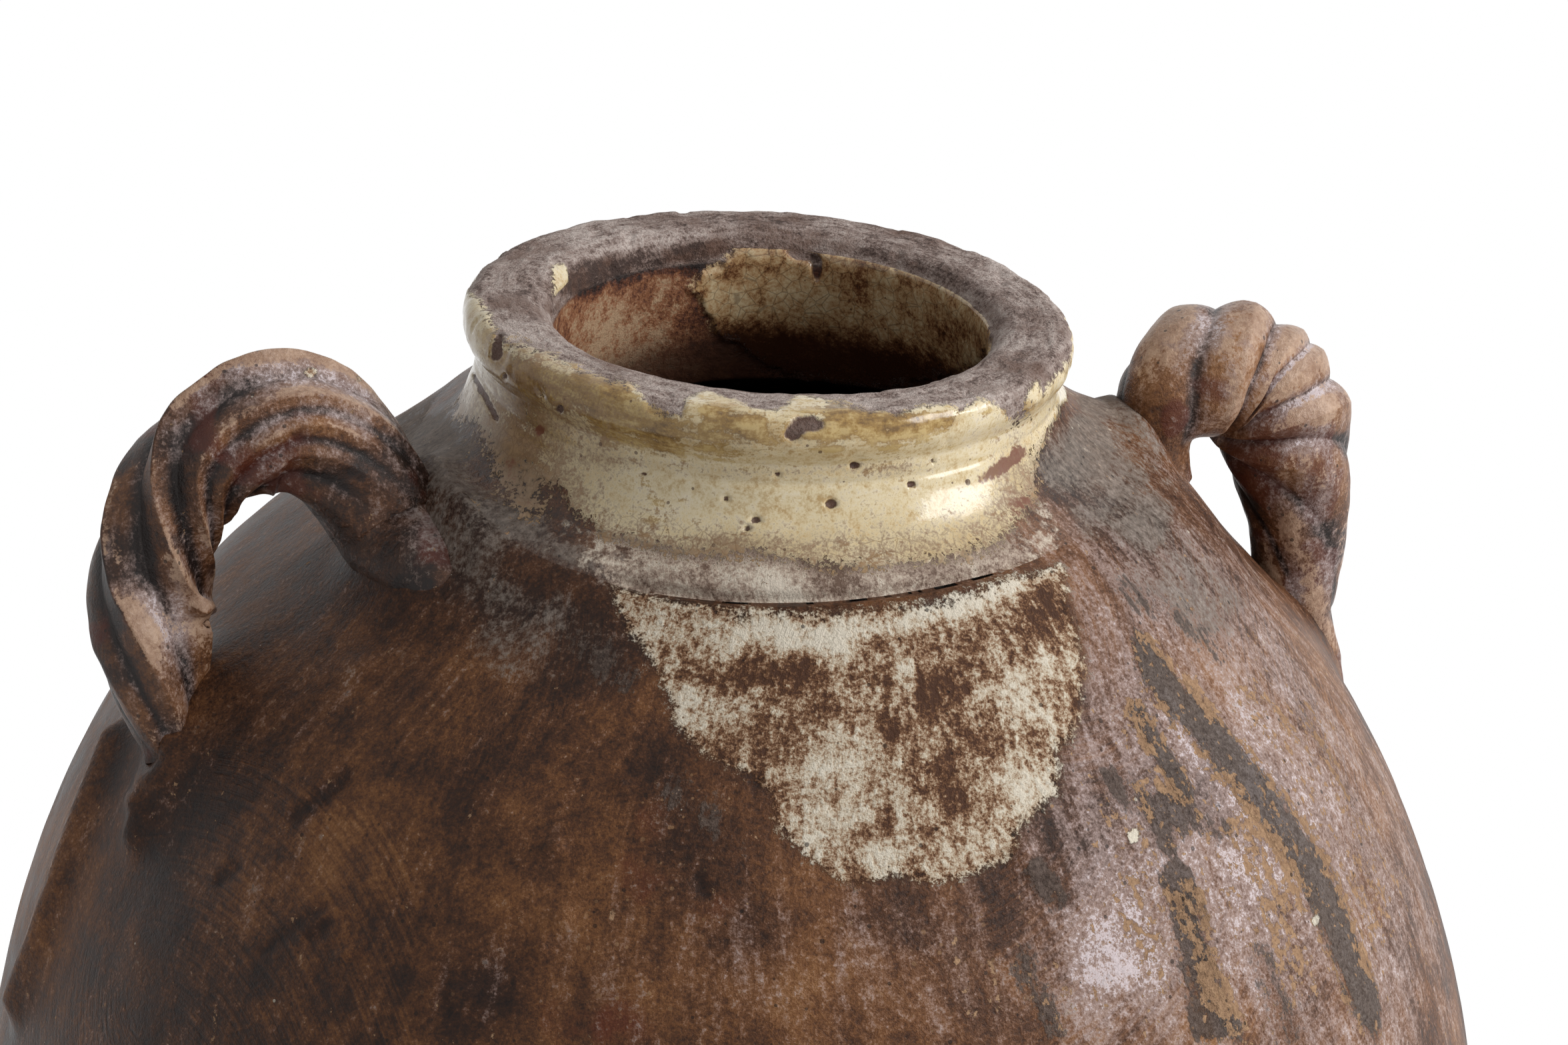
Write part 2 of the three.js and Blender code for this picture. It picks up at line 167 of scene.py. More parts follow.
TAPER_LINE = bezier(TAPER, np.linspace(0, 1, 400))


def outer_radius(height):
    height = np.asarray(height, float)
    dome = BELLY_RADIUS * np.sqrt(np.clip(1 - ((height - BELLY_HEIGHT) / DOME_RISE) ** 2, 0, 1))
    return np.where(height >= BELLY_HEIGHT, dome, np.interp(height, TAPER_LINE[:, 1], TAPER_LINE[:, 0]))


def inner_radius(height):
    slope = outer_radius(height + 0.5) - outer_radius(height - 0.5)
    return outer_radius(height) - WALL * np.hypot(1, slope)


def neck_shift(height):
    return NECK_OFFSET * smooth(SEAT - NECK_FADE, SEAT, height)


def turn_round(line):
    """Rows of points from turning a line of (radius, height) round the jar's leaning neck and body."""
    angle = np.linspace(-math.pi, math.pi, COLUMNS, endpoint=False)
    radius, height = line[:, :1], line[:, 1:]
    radius = radius * (1 - NECK_NARROWING * smooth(5, 35, height - SEAT))
    x = radius * np.cos(angle)
    y = radius * np.sin(angle)
    lean = np.clip((height - SEAT) / (RIM_SEAM - SEAT), 0, 1)
    z = height - x * RIM_LEAN * lean
    return np.stack([x + neck_shift(height), y, z + 0 * x], -1)


def soft_window(count):
    """Weights of a soft running mean."""
    return np.hanning(count) / np.hanning(count).sum()


def path_length(points):
    """Distance along a broken line to each of its corners."""
    return np.concatenate([[0], np.cumsum(np.linalg.norm(np.diff(points, axis=0), axis=1))])


def places_along(distance, along, points):
    """Places on a line at the given distances along it."""
    return np.stack([np.interp(distance, along, points[:, k]) for k in (0, 1)], -1)


def even_line(points, step):
    """Spaces points evenly along a broken line."""
    points = np.array(points, float)
    along = path_length(points)
    count = max(2, round(along[-1] / step) + 1)
    return places_along(np.linspace(0, along[-1], count), along, points)


def body_line(low, high, step, radius=outer_radius):
    height = np.linspace(low, high, 120)
    return even_line(np.stack([radius(height), height], -1), step)


def grid_normals(points):
    along = np.gradient(points, axis=0)
    around = np.roll(points, -1, 1) - np.roll(points, 1, 1)
    normal = np.cross(around, along)
    return normal / (np.linalg.norm(normal, axis=-1, keepdims=True) + 1e-12)


# Twisted handles. "start" and "end" are a root's drop below the seat, then how far the arch sets off
# outward and upward. "web" and "luting" are the clay raised on the wall beside the roots. "veil_and_sheen" is
# the strength of the pale film and painted sheen. "shade" gives the sideways slopes that are painted in
# shade, darker and less worn, and "bared" where worn clay sets in and dies out. "strap" is the length drawn
# out past the upper root, and "span" is where the strands leave their feet. "lean", "turn", "girth" and
# "relief" are tables by the distance along the rope. "strands" are the angles between the strands.

LEFT = {
    "azimuth": math.radians(200),
    "start": (8.0, 18.0, 76.0),
    "end": (70.4, 15.0, 112.7),
    "web": 17.0,
    "luting": 9.0,
    "veil_and_sheen": 0.95,
    "shade": (-0.6, 0.08),
    "bared": (6, 46, 40),
    "strap": 46.0,
    "lean": [(-46, -18.7), (0, -18.7), (55, 0), (137, 0), (197, -25), (212, -27)],
    "span": (15.8, 167.0),
    "turn": [(-46, 80), (0, 59), (84, 0), (88, -5), (92, -14), (99, -32), (108, -56), (120, -84), (131, -105),
             (141, -121), (158, -145), (210, -215)],
    "girth": [(-46, 3), (-36, 9), (-18, 15), (0, 18.5), (18, 20.5), (36, 22.3), (47, 23.8), (64, 24.9),
              (83, 23.4), (95, 20.9), (109, 19.7), (140, 21.2), (152, 20.5), (166, 17), (181, 11.5),
              (194, 6), (206, 2)],
    "relief": [(-46, 0.1), (8, 0.3), (30, 0.6), (60, 0.9), (90, 1), (150, 1), (175, 0.8), (206, 0.6)],
    # Angle, height and sharpness of each ridge, then the depth of the valley after it
    "ridges": [(-16, 1.04, 0.75, 0.68), (68, 1.05, 0.6, 0.82), (130, 0.98, 0.4, 0.86), (185, 1.0, 0.5, 0.82),
               (236, 1.0, 0.6, 0.87), (264, 1.0, 0.6, 0.87), (292, 1.01, 0.7, 0.79)],
    "strands": [-42, 22, 100, 210, 279, 318],
}
RIGHT = {
    "azimuth": math.radians(18),
    "start": (14.5, -7.3, 22.5),
    "end": (93.3, 5.0, 150.6),
    "web": 10.0,
    "luting": 5.0,
    "veil_and_sheen": 0.95,
    "shade": (-1.3, -0.5),
    "bared": (-8, 14, 12),
    "strap": 0.0,
    "lean": [(-14, 12), (0, 9), (50, 0), (208, 0)],
    "span": (10.0, 148.1),
    "turn": [(-14, 78), (0, 66), (16, 30), (36, -40), (78, -330), (90, -380), (109, -425), (140, -470),
             (208, -540)],
    "girth": [(-14, 9), (-5, 11), (4, 13.5), (13, 19), (23, 23), (35, 25.2), (51, 23.6), (66, 25.6), (80, 26),
              (98, 23), (120, 18.8), (140, 17.2), (155, 15), (168, 13), (182, 9.5), (196, 5.5), (208, 2)],
    "relief": [(-14, 0.4), (8, 0.8), (26, 1), (88, 1), (104, 0.6), (122, 0.4), (150, 0.3), (208, 0.25)],
    "ridges": [(5, 1.03, 0.3, 0.84), (121, 1.04, 0.25, 0.84), (206, 0.99, 0.3, 0.9), (256, 1.0, 0.3, 0.84)],
    "strands": [-52, 62, 180, 308],
}
ROPE_STEP = 0.9
ROPE_COLUMNS = 168
ROPE_SET_IN = 14
ROOT_DEPTH = 5.0
STRAP_SINK = 9.0
TAIL_LENGTH = 70.0


def wall_reach(azimuth, height):
    """Distance from the body's axis to the wall at a bearing and height."""
    shift = neck_shift(height)
    across = shift * math.sin(azimuth)
    return shift * math.cos(azimuth) + math.sqrt(float(outer_radius(height)) ** 2 - across ** 2)


def rope_line(handle):
    """Rope's middle line in its upright plane, with the distance along it. Its tail runs down the wall."""
    ends = []
    for drop, reach, rise in (handle["start"], handle["end"]):
        height = SEAT - drop
        root = np.array([wall_reach(handle["azimuth"], height), height])
        ends.append((root, root + np.array([reach, rise])))
    arch = bezier([ends[0][0], ends[0][1], ends[1][1], ends[1][0]], np.linspace(0, 1, 600))
    set_in = arch[0] - ROPE_SET_IN * (arch[1] - arch[0]) / np.linalg.norm(arch[1] - arch[0])
    below = ends[1][0][1] - np.arange(1.0, TAIL_LENGTH)
    tail = [(wall_reach(handle["azimuth"], height), height) for height in below]
    line = even_line(np.vstack([[set_in], arch, tail]), ROPE_STEP)
    for k in (0, 1):
        line[12:-12, k] = np.convolve(line[:, k], soft_window(25), "valid")
    return path_length(line) - ROPE_SET_IN, line


def strap_line(handle, beyond):
    """Places past the upper root, where the clay is drawn out round the shoulder and sinks into it."""
    height = SEAT - handle["start"][0]
    reach = float(outer_radius(height))
    bearing = handle["azimuth"] + (beyond - handle["lean"][1][1]) / reach
    share = beyond / handle["strap"]
    sunk = STRAP_SINK * share ** 2 + STRAP_SINK * share ** 6
    reach = reach - 0.5 * sunk
    shift = neck_shift(height)
    return np.stack([shift + reach * np.cos(bearing), reach * np.sin(bearing), height - 0.87 * sunk], -1)


def eased(table, place):
    """Smooth curve through a short table of (place, value)."""
    places, values = np.array(table, float).T
    fine = np.arange(places[0], places[-1] + 1, 1.0)
    curve = np.interp(fine, places, values)
    padded = np.concatenate([np.full(5, curve[0]), curve, np.full(5, curve[-1])])
    return np.interp(place, fine, np.convolve(padded, soft_window(11), "valid"))


def rope_section(handle, angle):
    """Share of the girth at each angle round the twist, and 1 on ridges down to 0 in valleys."""
    ridges = handle["ridges"]
    share = np.zeros(len(angle))
    crest = np.zeros(len(angle))
    for index, (middle, height, sharp, valley) in enumerate(ridges):
        following = ridges[(index + 1) % len(ridges)]
        gap = (following[0] - middle) % 360
        away = (angle - middle) % 360
        here = away < gap
        half = gap / 2
        near = np.where(away <= half, away, gap - away) / half
        top = np.where(away <= half, height, following[1])
        edge = np.where(away <= half, sharp, following[2])
        form = edge * (1 - near) ** 2 + (1 - edge) * (1 - near ** 2.4)
        share = np.where(here, valley + (top - valley) * form, share)
        crest = np.where(here, form, crest)
    return share, crest


def rope_columns(handle):
    """Angles round the twist, in degrees, with a column on each strand's edge."""
    angles, edges = [], []
    for low, high in zip(handle["strands"][:-1], handle["strands"][1:]):
        edges.append(len(angles))
        count = round(ROPE_COLUMNS * (high - low) / 360)
        angles.extend(np.linspace(low, high, count, endpoint=False))
    return np.array(angles), edges + [len(angles)]


def rope_surface(handle):
    """Distance along the rope, its surface, its ridges, its strands' columns and its middle line."""
    along, line = rope_line(handle)
    table = handle["girth"]
    distance = np.arange(table[0][0], table[-1][0], ROPE_STEP)
    place = places_along(distance, along, line)
    heading = places_along(distance, along, np.gradient(line, along, axis=0))
    heading /= np.linalg.norm(heading, axis=1, keepdims=True)
    outward = np.array([math.cos(handle["azimuth"]), math.sin(handle["azimuth"]), 0.0])
    sideways = np.array([math.sin(handle["azimuth"]), -math.cos(handle["azimuth"]), 0.0])
    middle = place[:, :1] * outward + place[:, 1:] * UP + eased(handle["lean"], distance)[:, None] * sideways
    on_strap = distance < 0
    if handle["strap"]:
        middle[on_strap] = strap_line(handle, -distance[on_strap])
        for k in range(3):
            middle[16:-16, k] = np.convolve(middle[:, k], soft_window(33), "valid")
    ahead = np.gradient(middle, axis=0)
    ahead /= np.linalg.norm(ahead, axis=1, keepdims=True)
    across = -heading[:, 1:] * outward + heading[:, :1] * UP
    across -= (across * ahead).sum(1, keepdims=True) * ahead
    across /= np.linalg.norm(across, axis=1, keepdims=True)
    sideways = np.cross(ahead, across)
    angle, edges = rope_columns(handle)
    share, crest = rope_section(handle, angle)
    girth = eased(table, distance)
    relief = eased(handle["relief"], distance)
    radius = girth[:, None] * (1 + (share[None] - 1) * relief[:, None])
    turned = np.radians(angle[None] + eased(handle["turn"], distance)[:, None])
    points = middle[:, None] + across[:, None] * (radius * np.cos(turned))[..., None]
    points = points + sideways[:, None] * (radius * np.sin(turned))[..., None]
    return distance, points, np.broadcast_to(crest[None], radius.shape), edges, middle


ropes = {"left": rope_surface(LEFT), "right": rope_surface(RIGHT)}


# One long line from the middle of the foot, up the outside, over the lip and down the inside

BORE_FOOT = SEAT - 5.0
WALL_FLOOR = BASE_TOP + 6.0
AXIS_GAP = 0.6
FOOT_EDGE = 6.0
UNDER_NECK_RADIUS = 130


def neck_curve(*corners):
    return bezier(corners, np.linspace(0, 1, 40))


def bore_radius(height):
    return MOUTH_RADIUS + 8.0 * ((RIM_CIRCLE - height) / 48.0) ** 2


foot_corner = (float(outer_radius(FOOT_EDGE)), FOOT_EDGE)
foot_line = [(AXIS_GAP, 0), (130, 0), (136, 0), (139, 1.2), (141, 3.5), foot_corner]
foot_line = np.vstack([even_line(foot_line, 5), body_line(FOOT_EDGE, BASE_TOP, 3)[1:]])
waist = (WAIST_RADIUS, SEAT + 18), (WAIST_RADIUS, SEAT + 36)
flare = neck_curve((COLLAR_FOOT_RADIUS, SEAT), (112.2, SEAT + 9), *waist)
rim_side = (RIM_RADIUS, RIM_CIRCLE)
lip = np.vstack([
    neck_curve((WAIST_RADIUS, RIM_SEAM), (101.5, RIM_SEAM + 3), (RIM_RADIUS, RIM_CIRCLE - 5), rim_side),
    neck_curve(rim_side, (RIM_RADIUS, LIP_TOP - 3), (103, LIP_TOP), (98, LIP_TOP))[1:],
    neck_curve((88, LIP_TOP), (80, LIP_TOP), (MOUTH_RADIUS, LIP_TOP - 4), (MOUTH_RADIUS, LIP_TOP - 13)),
    [(float(bore_radius(RIM_SEAM)), RIM_SEAM)],
])
bore_height = np.linspace(RIM_SEAM, BORE_FOOT, 30)
high_up = np.linspace(520, 612, 93)
DOME_TOP = float(np.interp(-UNDER_NECK_RADIUS, -inner_radius(high_up), high_up))
under_neck = [(85.8, BORE_FOOT), (90, BORE_FOOT - 9), (112, DOME_TOP + 7), (UNDER_NECK_RADIUS, DOME_TOP)]
under_neck = bezier(under_neck, np.linspace(0, 1, 30))
inside_dome = body_line(SHOULDER_SEAM, DOME_TOP, 16, inner_radius)[::-1]
SECTIONS = [
    ("base_slab", foot_line),
    ("lower_wall", body_line(BASE_TOP, LOWER_SEAM, 3.0)),
    ("belly_wall", body_line(LOWER_SEAM, SHOULDER_SEAM, 2.4)),
    ("shoulder_wall", body_line(SHOULDER_SEAM, SEAT, 2.0)),
    ("neck_collar", even_line(np.vstack([flare, [(WAIST_RADIUS, RIM_SEAM)]]), 1.0)),
    ("rim_ring", even_line(lip, 0.9)),
    ("neck_collar", even_line(np.stack([bore_radius(bore_height), bore_height], -1), 1.2)),
    ("shoulder_wall", np.vstack([even_line(under_neck, 6), inside_dome[1:]])),
    ("belly_wall", body_line(LOWER_SEAM, SHOULDER_SEAM, 24, inner_radius)[::-1]),
    ("lower_wall", body_line(WALL_FLOOR, LOWER_SEAM, 24, inner_radius)[::-1]),
    ("base_slab", even_line([(float(inner_radius(WALL_FLOOR)), WALL_FLOOR), (AXIS_GAP, WALL_FLOOR)], 20)),
]

# Rows where each section starts, and the first row that looks inward, a few rows down the lip
MOUTH_ROWS = 12
starts, profile = [], []
for _, line in SECTIONS:
    starts.append(max(len(profile) - 1, 0))
    profile.extend(line if not profile else line[1:])
starts.append(len(profile) - 1)
profile = np.array(profile)
first_inside = starts[6] - MOUTH_ROWS

skin = turn_round(profile)
skin_normal = grid_normals(skin)
radius = np.broadcast_to(profile[:, :1], skin.shape[:2])
height = np.broadcast_to(profile[:, 1:], skin.shape[:2])
azimuth = np.degrees(np.arctan2(skin[..., 1], skin[..., 0] - neck_shift(height)))
is_inside = np.broadcast_to((np.arange(len(profile)) >= first_inside)[:, None], skin.shape[:2])
above_seat = height - SEAT
arc = path_length(profile)
flow = np.stack([BELLY_RADIUS * np.cos(np.radians(azimuth)), BELLY_RADIUS * np.sin(np.radians(azimuth)),
                 np.broadcast_to(arc[:, None], azimuth.shape)], -1)


def facing(points, normal):
    """Cosine of the angle between the normal and the way to the photograph's camera."""
    towards = EYE - points
    return (towards * normal).sum(-1) / np.linalg.norm(towards, axis=-1)


place = picture_place(skin)
front = smooth(0.02, 0.16, facing(skin, skin_normal))
near = front > 0
near_place = place[near]


def on_front(function, *details):
    """A mark of the photograph's side, laid on the points that its camera sees."""
    marked = np.zeros(skin.shape[:2])
    marked[near] = function(near_place, *details) * front[near]
    return marked


def strokes(rows):
    return sum(level * on_front(stroke, line, width) for line, width, level in rows)


def spots(rows):
    return sum(row[-1] * on_front(spot, *row[:-1]) for row in rows)


# Marks measured on the photograph, in its pixels. A spot is its place, half sizes, tilt and strength.
# A stroke is its corners, half width and strength.

RIM_EDGE = [
    (690, 430), (701, 437), (723, 459), (736, 481), (745, 510), (799, 526), (850, 545), (895, 564),
    (946, 580), (962, 590), (972, 609), (988, 623), (1023, 622), (1030, 602), (1061, 593), (1099, 602),
    (1125, 614), (1163, 620), (1182, 609), (1201, 597), (1252, 606), (1316, 618), (1342, 622), (1380, 612),
    (1424, 606), (1444, 615), (1469, 596), (1507, 615), (1520, 638), (1539, 622), (1546, 577), (1558, 571),
    (1565, 590), (1590, 558), (1612, 530),
]
GLAZE_FOOT = [
    (1612, 560), (1590, 615), (1574, 647), (1558, 685), (1552, 736), (1533, 787), (1488, 826), (1405, 845),
    (1342, 851), (1252, 851), (1188, 845), (1125, 832), (1086, 838), (1010, 832), (959, 819), (908, 807),
    (870, 781), (838, 736), (819, 736), (812, 781), (793, 800), (768, 781), (745, 730), (736, 698),
    (713, 650), (690, 640),
]
BORE_GLAZE = [
    (1035, 430), (1050, 408), (1086, 394), (1100, 378), (1112, 366), (1150, 372), (1175, 362), (1190, 357),
    (1215, 362), (1240, 375), (1262, 368), (1290, 362), (1330, 372), (1390, 388), (1440, 410), (1480, 440),
    (1497, 475), (1490, 515), (1470, 545), (1420, 565), (1300, 585), (1180, 565), (1110, 520), (1075, 500),
    (1058, 470), (1048, 450),
]
APRON = [
    (920, 888), (942, 943), (996, 1013), (1013, 1089), (1067, 1132), (1110, 1159), (1153, 1186),
    (1164, 1241), (1197, 1273), (1240, 1300), (1284, 1322), (1340, 1312), (1387, 1317), (1452, 1311),
    (1506, 1295), (1527, 1241), (1587, 1192), (1582, 1132), (1605, 1111), (1614, 1080), (1625, 1040),
    (1620, 981), (1603, 905), (1592, 845), (1551, 858), (1503, 876), (1449, 893), (1396, 905), (1315, 918),
    (1208, 924), (1128, 921), (1047, 913), (980, 905),
]

APRON_PATCHES = [
    (1175, 950, 150, 26, 3, 0.55), (1440, 905, 130, 18, -18, 0.6), (1030, 1060, 40, 36, 20, 0.3),
    (1255, 1140, 46, 60, 30, 0.4), (1240, 1225, 110, 50, -15, 0.25), (1550, 1035, 60, 60, -20, 0.28),
    (1550, 1180, 46, 40, -30, 0.42), (1450, 1270, 80, 34, -10, 0.26), (1320, 1290, 60, 26, 5, 0.3),
    (1360, 1010, 16, 26, 0, 0.34), (1480, 1030, 60, 12, -20, 0.26), (1260, 985, 24, 30, 0, 0.3),
    (975, 930, 34, 26, 40, 0.2), (1160, 1010, 100, 30, 5, -0.35), (1240, 1070, 36, 24, 20, -0.34),
    (1420, 1030, 60, 46, -15, -0.42), (1340, 1095, 40, 20, -10, -0.36), (1405, 1140, 36, 26, -10, -0.36),
    (1310, 962, 16, 16, 0, -0.3), (1130, 1170, 22, 22, 0, -0.5), (1430, 1200, 40, 24, -30, -0.3),
    (1300, 1250, 40, 20, -10, -0.26), (1090, 1110, 40, 26, 30, -0.2), (1560, 930, 40, 40, 0, -0.3),
]
GREY_STROKES = [
    ([(980, 858), (1120, 868), (1200, 860), (1300, 868), (1420, 852), (1530, 812)], 20, 0.45),
    ([(760, 790), (830, 832), (900, 860), (980, 872)], 36, 0.6),
    ([(700, 950), (850, 985), (950, 1010)], 75, 0.34),
    ([(560, 770), (640, 850), (720, 905), (880, 925)], 26, 0.3),
    ([(1560, 720), (1610, 690), (1650, 640)], 40, 0.6), ([(1610, 800), (1680, 760), (1760, 800)], 50, 0.5),
    ([(1640, 880), (1760, 880), (1860, 960)], 46, 0.4), ([(1600, 640), (1690, 660), (1745, 720)], 60, 0.5),
    ([(1590, 596), (1660, 590), (1730, 630)], 40, 0.5), ([(1700, 740), (1790, 820), (1880, 920)], 60, 0.3),
    ([(620, 590), (650, 660), (700, 740)], 60, 0.6),
    ([(540, 640), (620, 730), (690, 800), (780, 850)], 60, 0.55),
]
DRIPS = [
    ([(1688, 912), (1707, 957), (1736, 1014), (1800, 1086), (1857, 1157), (1907, 1221), (1957, 1293),
      (2000, 1386), (2043, 1493), (2070, 1590)], 27, 1.0),
    ([(1690, 1045), (1721, 1100), (1760, 1160), (1790, 1210)], 18, 0.8),
    ([(1772, 1300), (1793, 1389), (1826, 1498), (1880, 1590)], 26, 0.55),
    ([(1940, 1040), (1990, 1130), (2040, 1260)], 16, 0.35),
]
TAN_FLAKES = [
    ([(1700, 950), (1740, 985), (1790, 1030), (1830, 1090)], 18, 0.34),
    ([(1855, 1025), (1905, 1075), (1955, 1120)], 22, 0.3),
    ([(1838, 1215), (1890, 1290), (1945, 1350)], 30, 0.28),
    ([(2032, 1260), (2046, 1340), (2060, 1400), (2050, 1480)], 26, 0.3),
    ([(1680, 1040), (1700, 1090), (1720, 1140)], 26, 0.32),
    ([(1640, 1190), (1700, 1230), (1740, 1150)], 40, 0.28),
    ([(1700, 1300), (1720, 1400), (1740, 1500)], 36, 0.28),
    ([(1900, 1330), (1940, 1430), (1960, 1520)], 30, 0.3), ([(1800, 1440), (1840, 1530)], 30, 0.28),
    ([(1560, 1440), (1620, 1540)], 40, 0.2), ([(1470, 1380), (1480, 1540)], 60, 0.2),
]
WARM_PATCHES = [
    (845, 1205, 130, 60, -10, 0.5), (733, 1310, 50, 50, 0, 0.5), (845, 1360, 60, 60, 0, 0.5),
    (680, 985, 80, 34, 10, 0.4), (893, 1072, 40, 26, 0, 0.4), (500, 1130, 150, 60, -30, 0.3),
    (560, 1330, 120, 80, -30, 0.2), (1830, 1010, 60, 60, 45, 0.5), (1890, 1110, 60, 120, -25, 0.45),
    (1990, 1300, 40, 160, -15, 0.5), (2060, 1480, 50, 120, -10, 0.45), (1650, 1000, 50, 90, 0, 0.3),
    (930, 1300, 60, 80, 0, 0.3), (1000, 1480, 70, 60, 0, 0.3), (1180, 1500, 90, 50, 0, 0.25),
]
RIM_CHAR = [
    (1150, 332, 200, 24, 0, 0.4), (1420, 396, 90, 34, 30, 0.5), (930, 398, 85, 20, -10, 1.0),
    (1060, 374, 60, 14, -6, 0.9), (872, 428, 36, 20, -30, 0.9),
]
DARK_PATCHES = [
    (700, 1190, 36, 60, 10, 0.5), (730, 1490, 60, 60, 0, 0.5), (1000, 1190, 60, 90, -20, 0.55),
    (880, 950, 90, 40, 20, 0.4), (1060, 1260, 70, 60, 30, 0.5), (420, 1470, 110, 60, -20, 0.4),
    (1300, 1400, 140, 50, 0, 0.4), (300, 1250, 60, 160, 20, 0.5), (540, 880, 120, 60, -20, 0.35),
    (150, 1400, 80, 160, 15, 0.3), (1120, 1400, 60, 80, 0, 0.35),
]
RED_PATCHES = [
    (960, 1300, 50, 90, 0, 0.5), (900, 1540, 110, 50, 0, 0.6), (1060, 1350, 70, 50, 0, 0.35),
    (620, 1080, 60, 40, 0, 0.25), (1870, 1130, 40, 40, 0, 0.3),
]
OLIVE_STROKES = [
    ([(700, 470), (760, 550), (860, 600), (960, 640), (1100, 655), (1250, 650), (1420, 640)], 34, 0.6),
    ([(1225, 616), (1340, 634), (1455, 628)], 16, 0.6), ([(856, 556), (950, 598)], 20, 0.6),
    ([(1050, 612), (1150, 642)], 18, 0.5), ([(985, 600), (1000, 690)], 20, 0.4),
    ([(900, 580), (925, 680)], 22, 0.4), ([(1500, 620), (1560, 610)], 14, 0.5),
    ([(770, 545), (800, 640), (820, 720)], 36, 0.5),
]
RUST_STROKES = [
    ([(1462, 728), (1500, 702), (1545, 672)], 11, 0.9), ([(806, 646), (818, 656)], 9, 0.8),
    ([(1500, 800), (1545, 740)], 20, 0.5), ([(760, 700), (800, 780)], 24, 0.4),
]
CHIPS = [
    (1212, 636, 27, 13, 8, 1), (1188, 652, 14, 11, 0, 1), (748, 530, 7, 15, 0, 0.8), (842, 614, 6, 7, 0, 1),
    (1134, 781, 9, 6, 0, 1), (1246, 756, 10, 9, 0, 1), (1281, 698, 9, 6, 0, 1), (1121, 794, 7, 5, 0, 0.9),
    (1090, 748, 6, 4, 0, 0.9), (968, 711, 6, 4, 0, 0.8), (1166, 711, 6, 4, 0, 0.9),
    (1367, 727, 8, 6, 0, 0.9), (1399, 692, 5, 4, 0, 0.8), (761, 567, 5, 5, 0, 0.8),
]
BORE_CHIPS = [
    (1200, 380, 24, 12, 15, 1), (1226, 404, 9, 20, 0, 1), (1456, 444, 9, 10, 0, 0.9),
    (1345, 402, 7, 6, 0, 0.8),
]
BORE_SPOTS = [
    (900, 412, 62, 26, -10, -0.5), (1035, 382, 60, 22, -8, -0.5), (930, 505, 60, 40, 0, 0.12),
    (1010, 452, 30, 40, 0, 0.08),
]
GOUGES = [
    ([(434, 1232), (480, 1196), (529, 1149)], 13, 1.5), ([(459, 1412), (497, 1378)], 12, 1.2),
    ([(325, 1327), (363, 1295)], 11, 1.0), ([(383, 1436), (504, 1346)], 9, 0.6),
    ([(663, 1423), (668, 1490), (682, 1538)], 8, 0.6),
    ([(1230, 1222), (1300, 1196), (1440, 1160)], 10, 0.9), ([(1130, 1165), (1142, 1178)], 14, 1.0),
    ([(1040, 1310), (1062, 1350)], 12, 0.8), ([(330, 1240), (420, 1150)], 9, 0.4),
]
COLLAR_CRACKS = [([(713, 564), (735, 605), (755, 647)], 5, 1), ([(752, 500), (742, 545)], 6, 0.7)]
# Stains on the collar and in the mouth. The large soft ones on the collar's left also paint shade there, over
# its brown glaze.
COLLAR_STAINS_AND_SHADE = [
    (770, 610, 100, 150, 0, 0.8), (750, 740, 60, 80, 0, 0.5), (900, 660, 110, 110, 0, 0.4),
    (1530, 690, 50, 90, 20, 0.6), (1330, 700, 60, 20, 0, 0.35), (1050, 700, 160, 12, 4, 0.4),
    (1250, 705, 160, 10, -2, 0.4), (1130, 820, 260, 26, 0, 0.3), (860, 470, 50, 40, 0, 0.5),
    (1293, 430, 16, 60, 0, 0.9), (1110, 400, 40, 30, 0, 0.4), (1420, 500, 70, 40, 0, 0.4),
]
PAINT_SPOTS = [(1700, 1254, 9, 12, 25, 1), (1972, 1380, 6, 10, 0, 1)]
# Pale haze with painted sheen: the broad reflection of the key light on the right of the body, brightest low
# on the right
HAZE_AND_SHEEN = [
    (1745, 650, 34, 60, -15, 0.8), (1670, 1430, 70, 110, 0, 0.75), (1850, 1130, 130, 240, -25, 0.25),
    (1830, 1250, 320, 420, -20, 0.88), (1640, 1000, 80, 80, 0, 0.25), (2060, 1480, 50, 120, 0, 0.3),
    (1720, 860, 160, 90, 20, 0.4), (1180, 1450, 260, 120, 0, 0.46), (1560, 1460, 60, 90, 0, 0.2),
    (1880, 1440, 330, 240, 0, 0.2),
]
CRUST = [
    ([(1735, 1180), (1800, 1225), (1850, 1260)], 34, 0.6),
    ([(1540, 1290), (1575, 1330), (1610, 1360)], 30, 0.7),
    ([(1757, 1279), (1785, 1400), (1820, 1580)], 36, 0.75),
    ([(1640, 1150), (1720, 1210), (1760, 1290)], 34, 0.5),
    ([(1530, 1400), (1560, 1500), (1570, 1580)], 36, 0.5),
    ([(1880, 1400), (1920, 1500), (1950, 1580)], 30, 0.5),
    ([(1660, 870), (1760, 920), (1850, 1010)], 40, 0.4), ([(830, 950), (900, 990), (960, 1040)], 40, 0.5),
    ([(1000, 1150), (1060, 1230), (1130, 1290)], 40, 0.4),
]
GRIT = [
    (960, 1400, 110, 170, 0, 0.8), (1020, 1200, 70, 100, 0, 0.6), (620, 1500, 160, 70, 0, 0.4),
    (780, 950, 140, 60, 10, 0.5), (1400, 1420, 200, 110, 0, 0.6), (1750, 1400, 200, 200, 0, 0.6),
    (420, 960, 120, 80, 0, 0.3),
]
LUMPS = [
    (833, 1270, 13, 10, 0, 2.2), (842, 1376, 18, 16, 0, 1.2), (518, 1432, 14, 7, -15, 2.0),
    (930, 1175, 8, 7, 0, 1.6), (1533, 1283, 18, 14, 0, 2.2), (1548, 1310, 14, 14, 0, 1.8),
    (640, 1370, 7, 7, 0, 1.5), (812, 1420, 10, 14, 20, 1.6), (700, 1490, 16, 10, 0, 1.6),
    (790, 1090, 30, 16, -30, 0.8), (540, 1000, 30, 20, -20, 1.0),
]
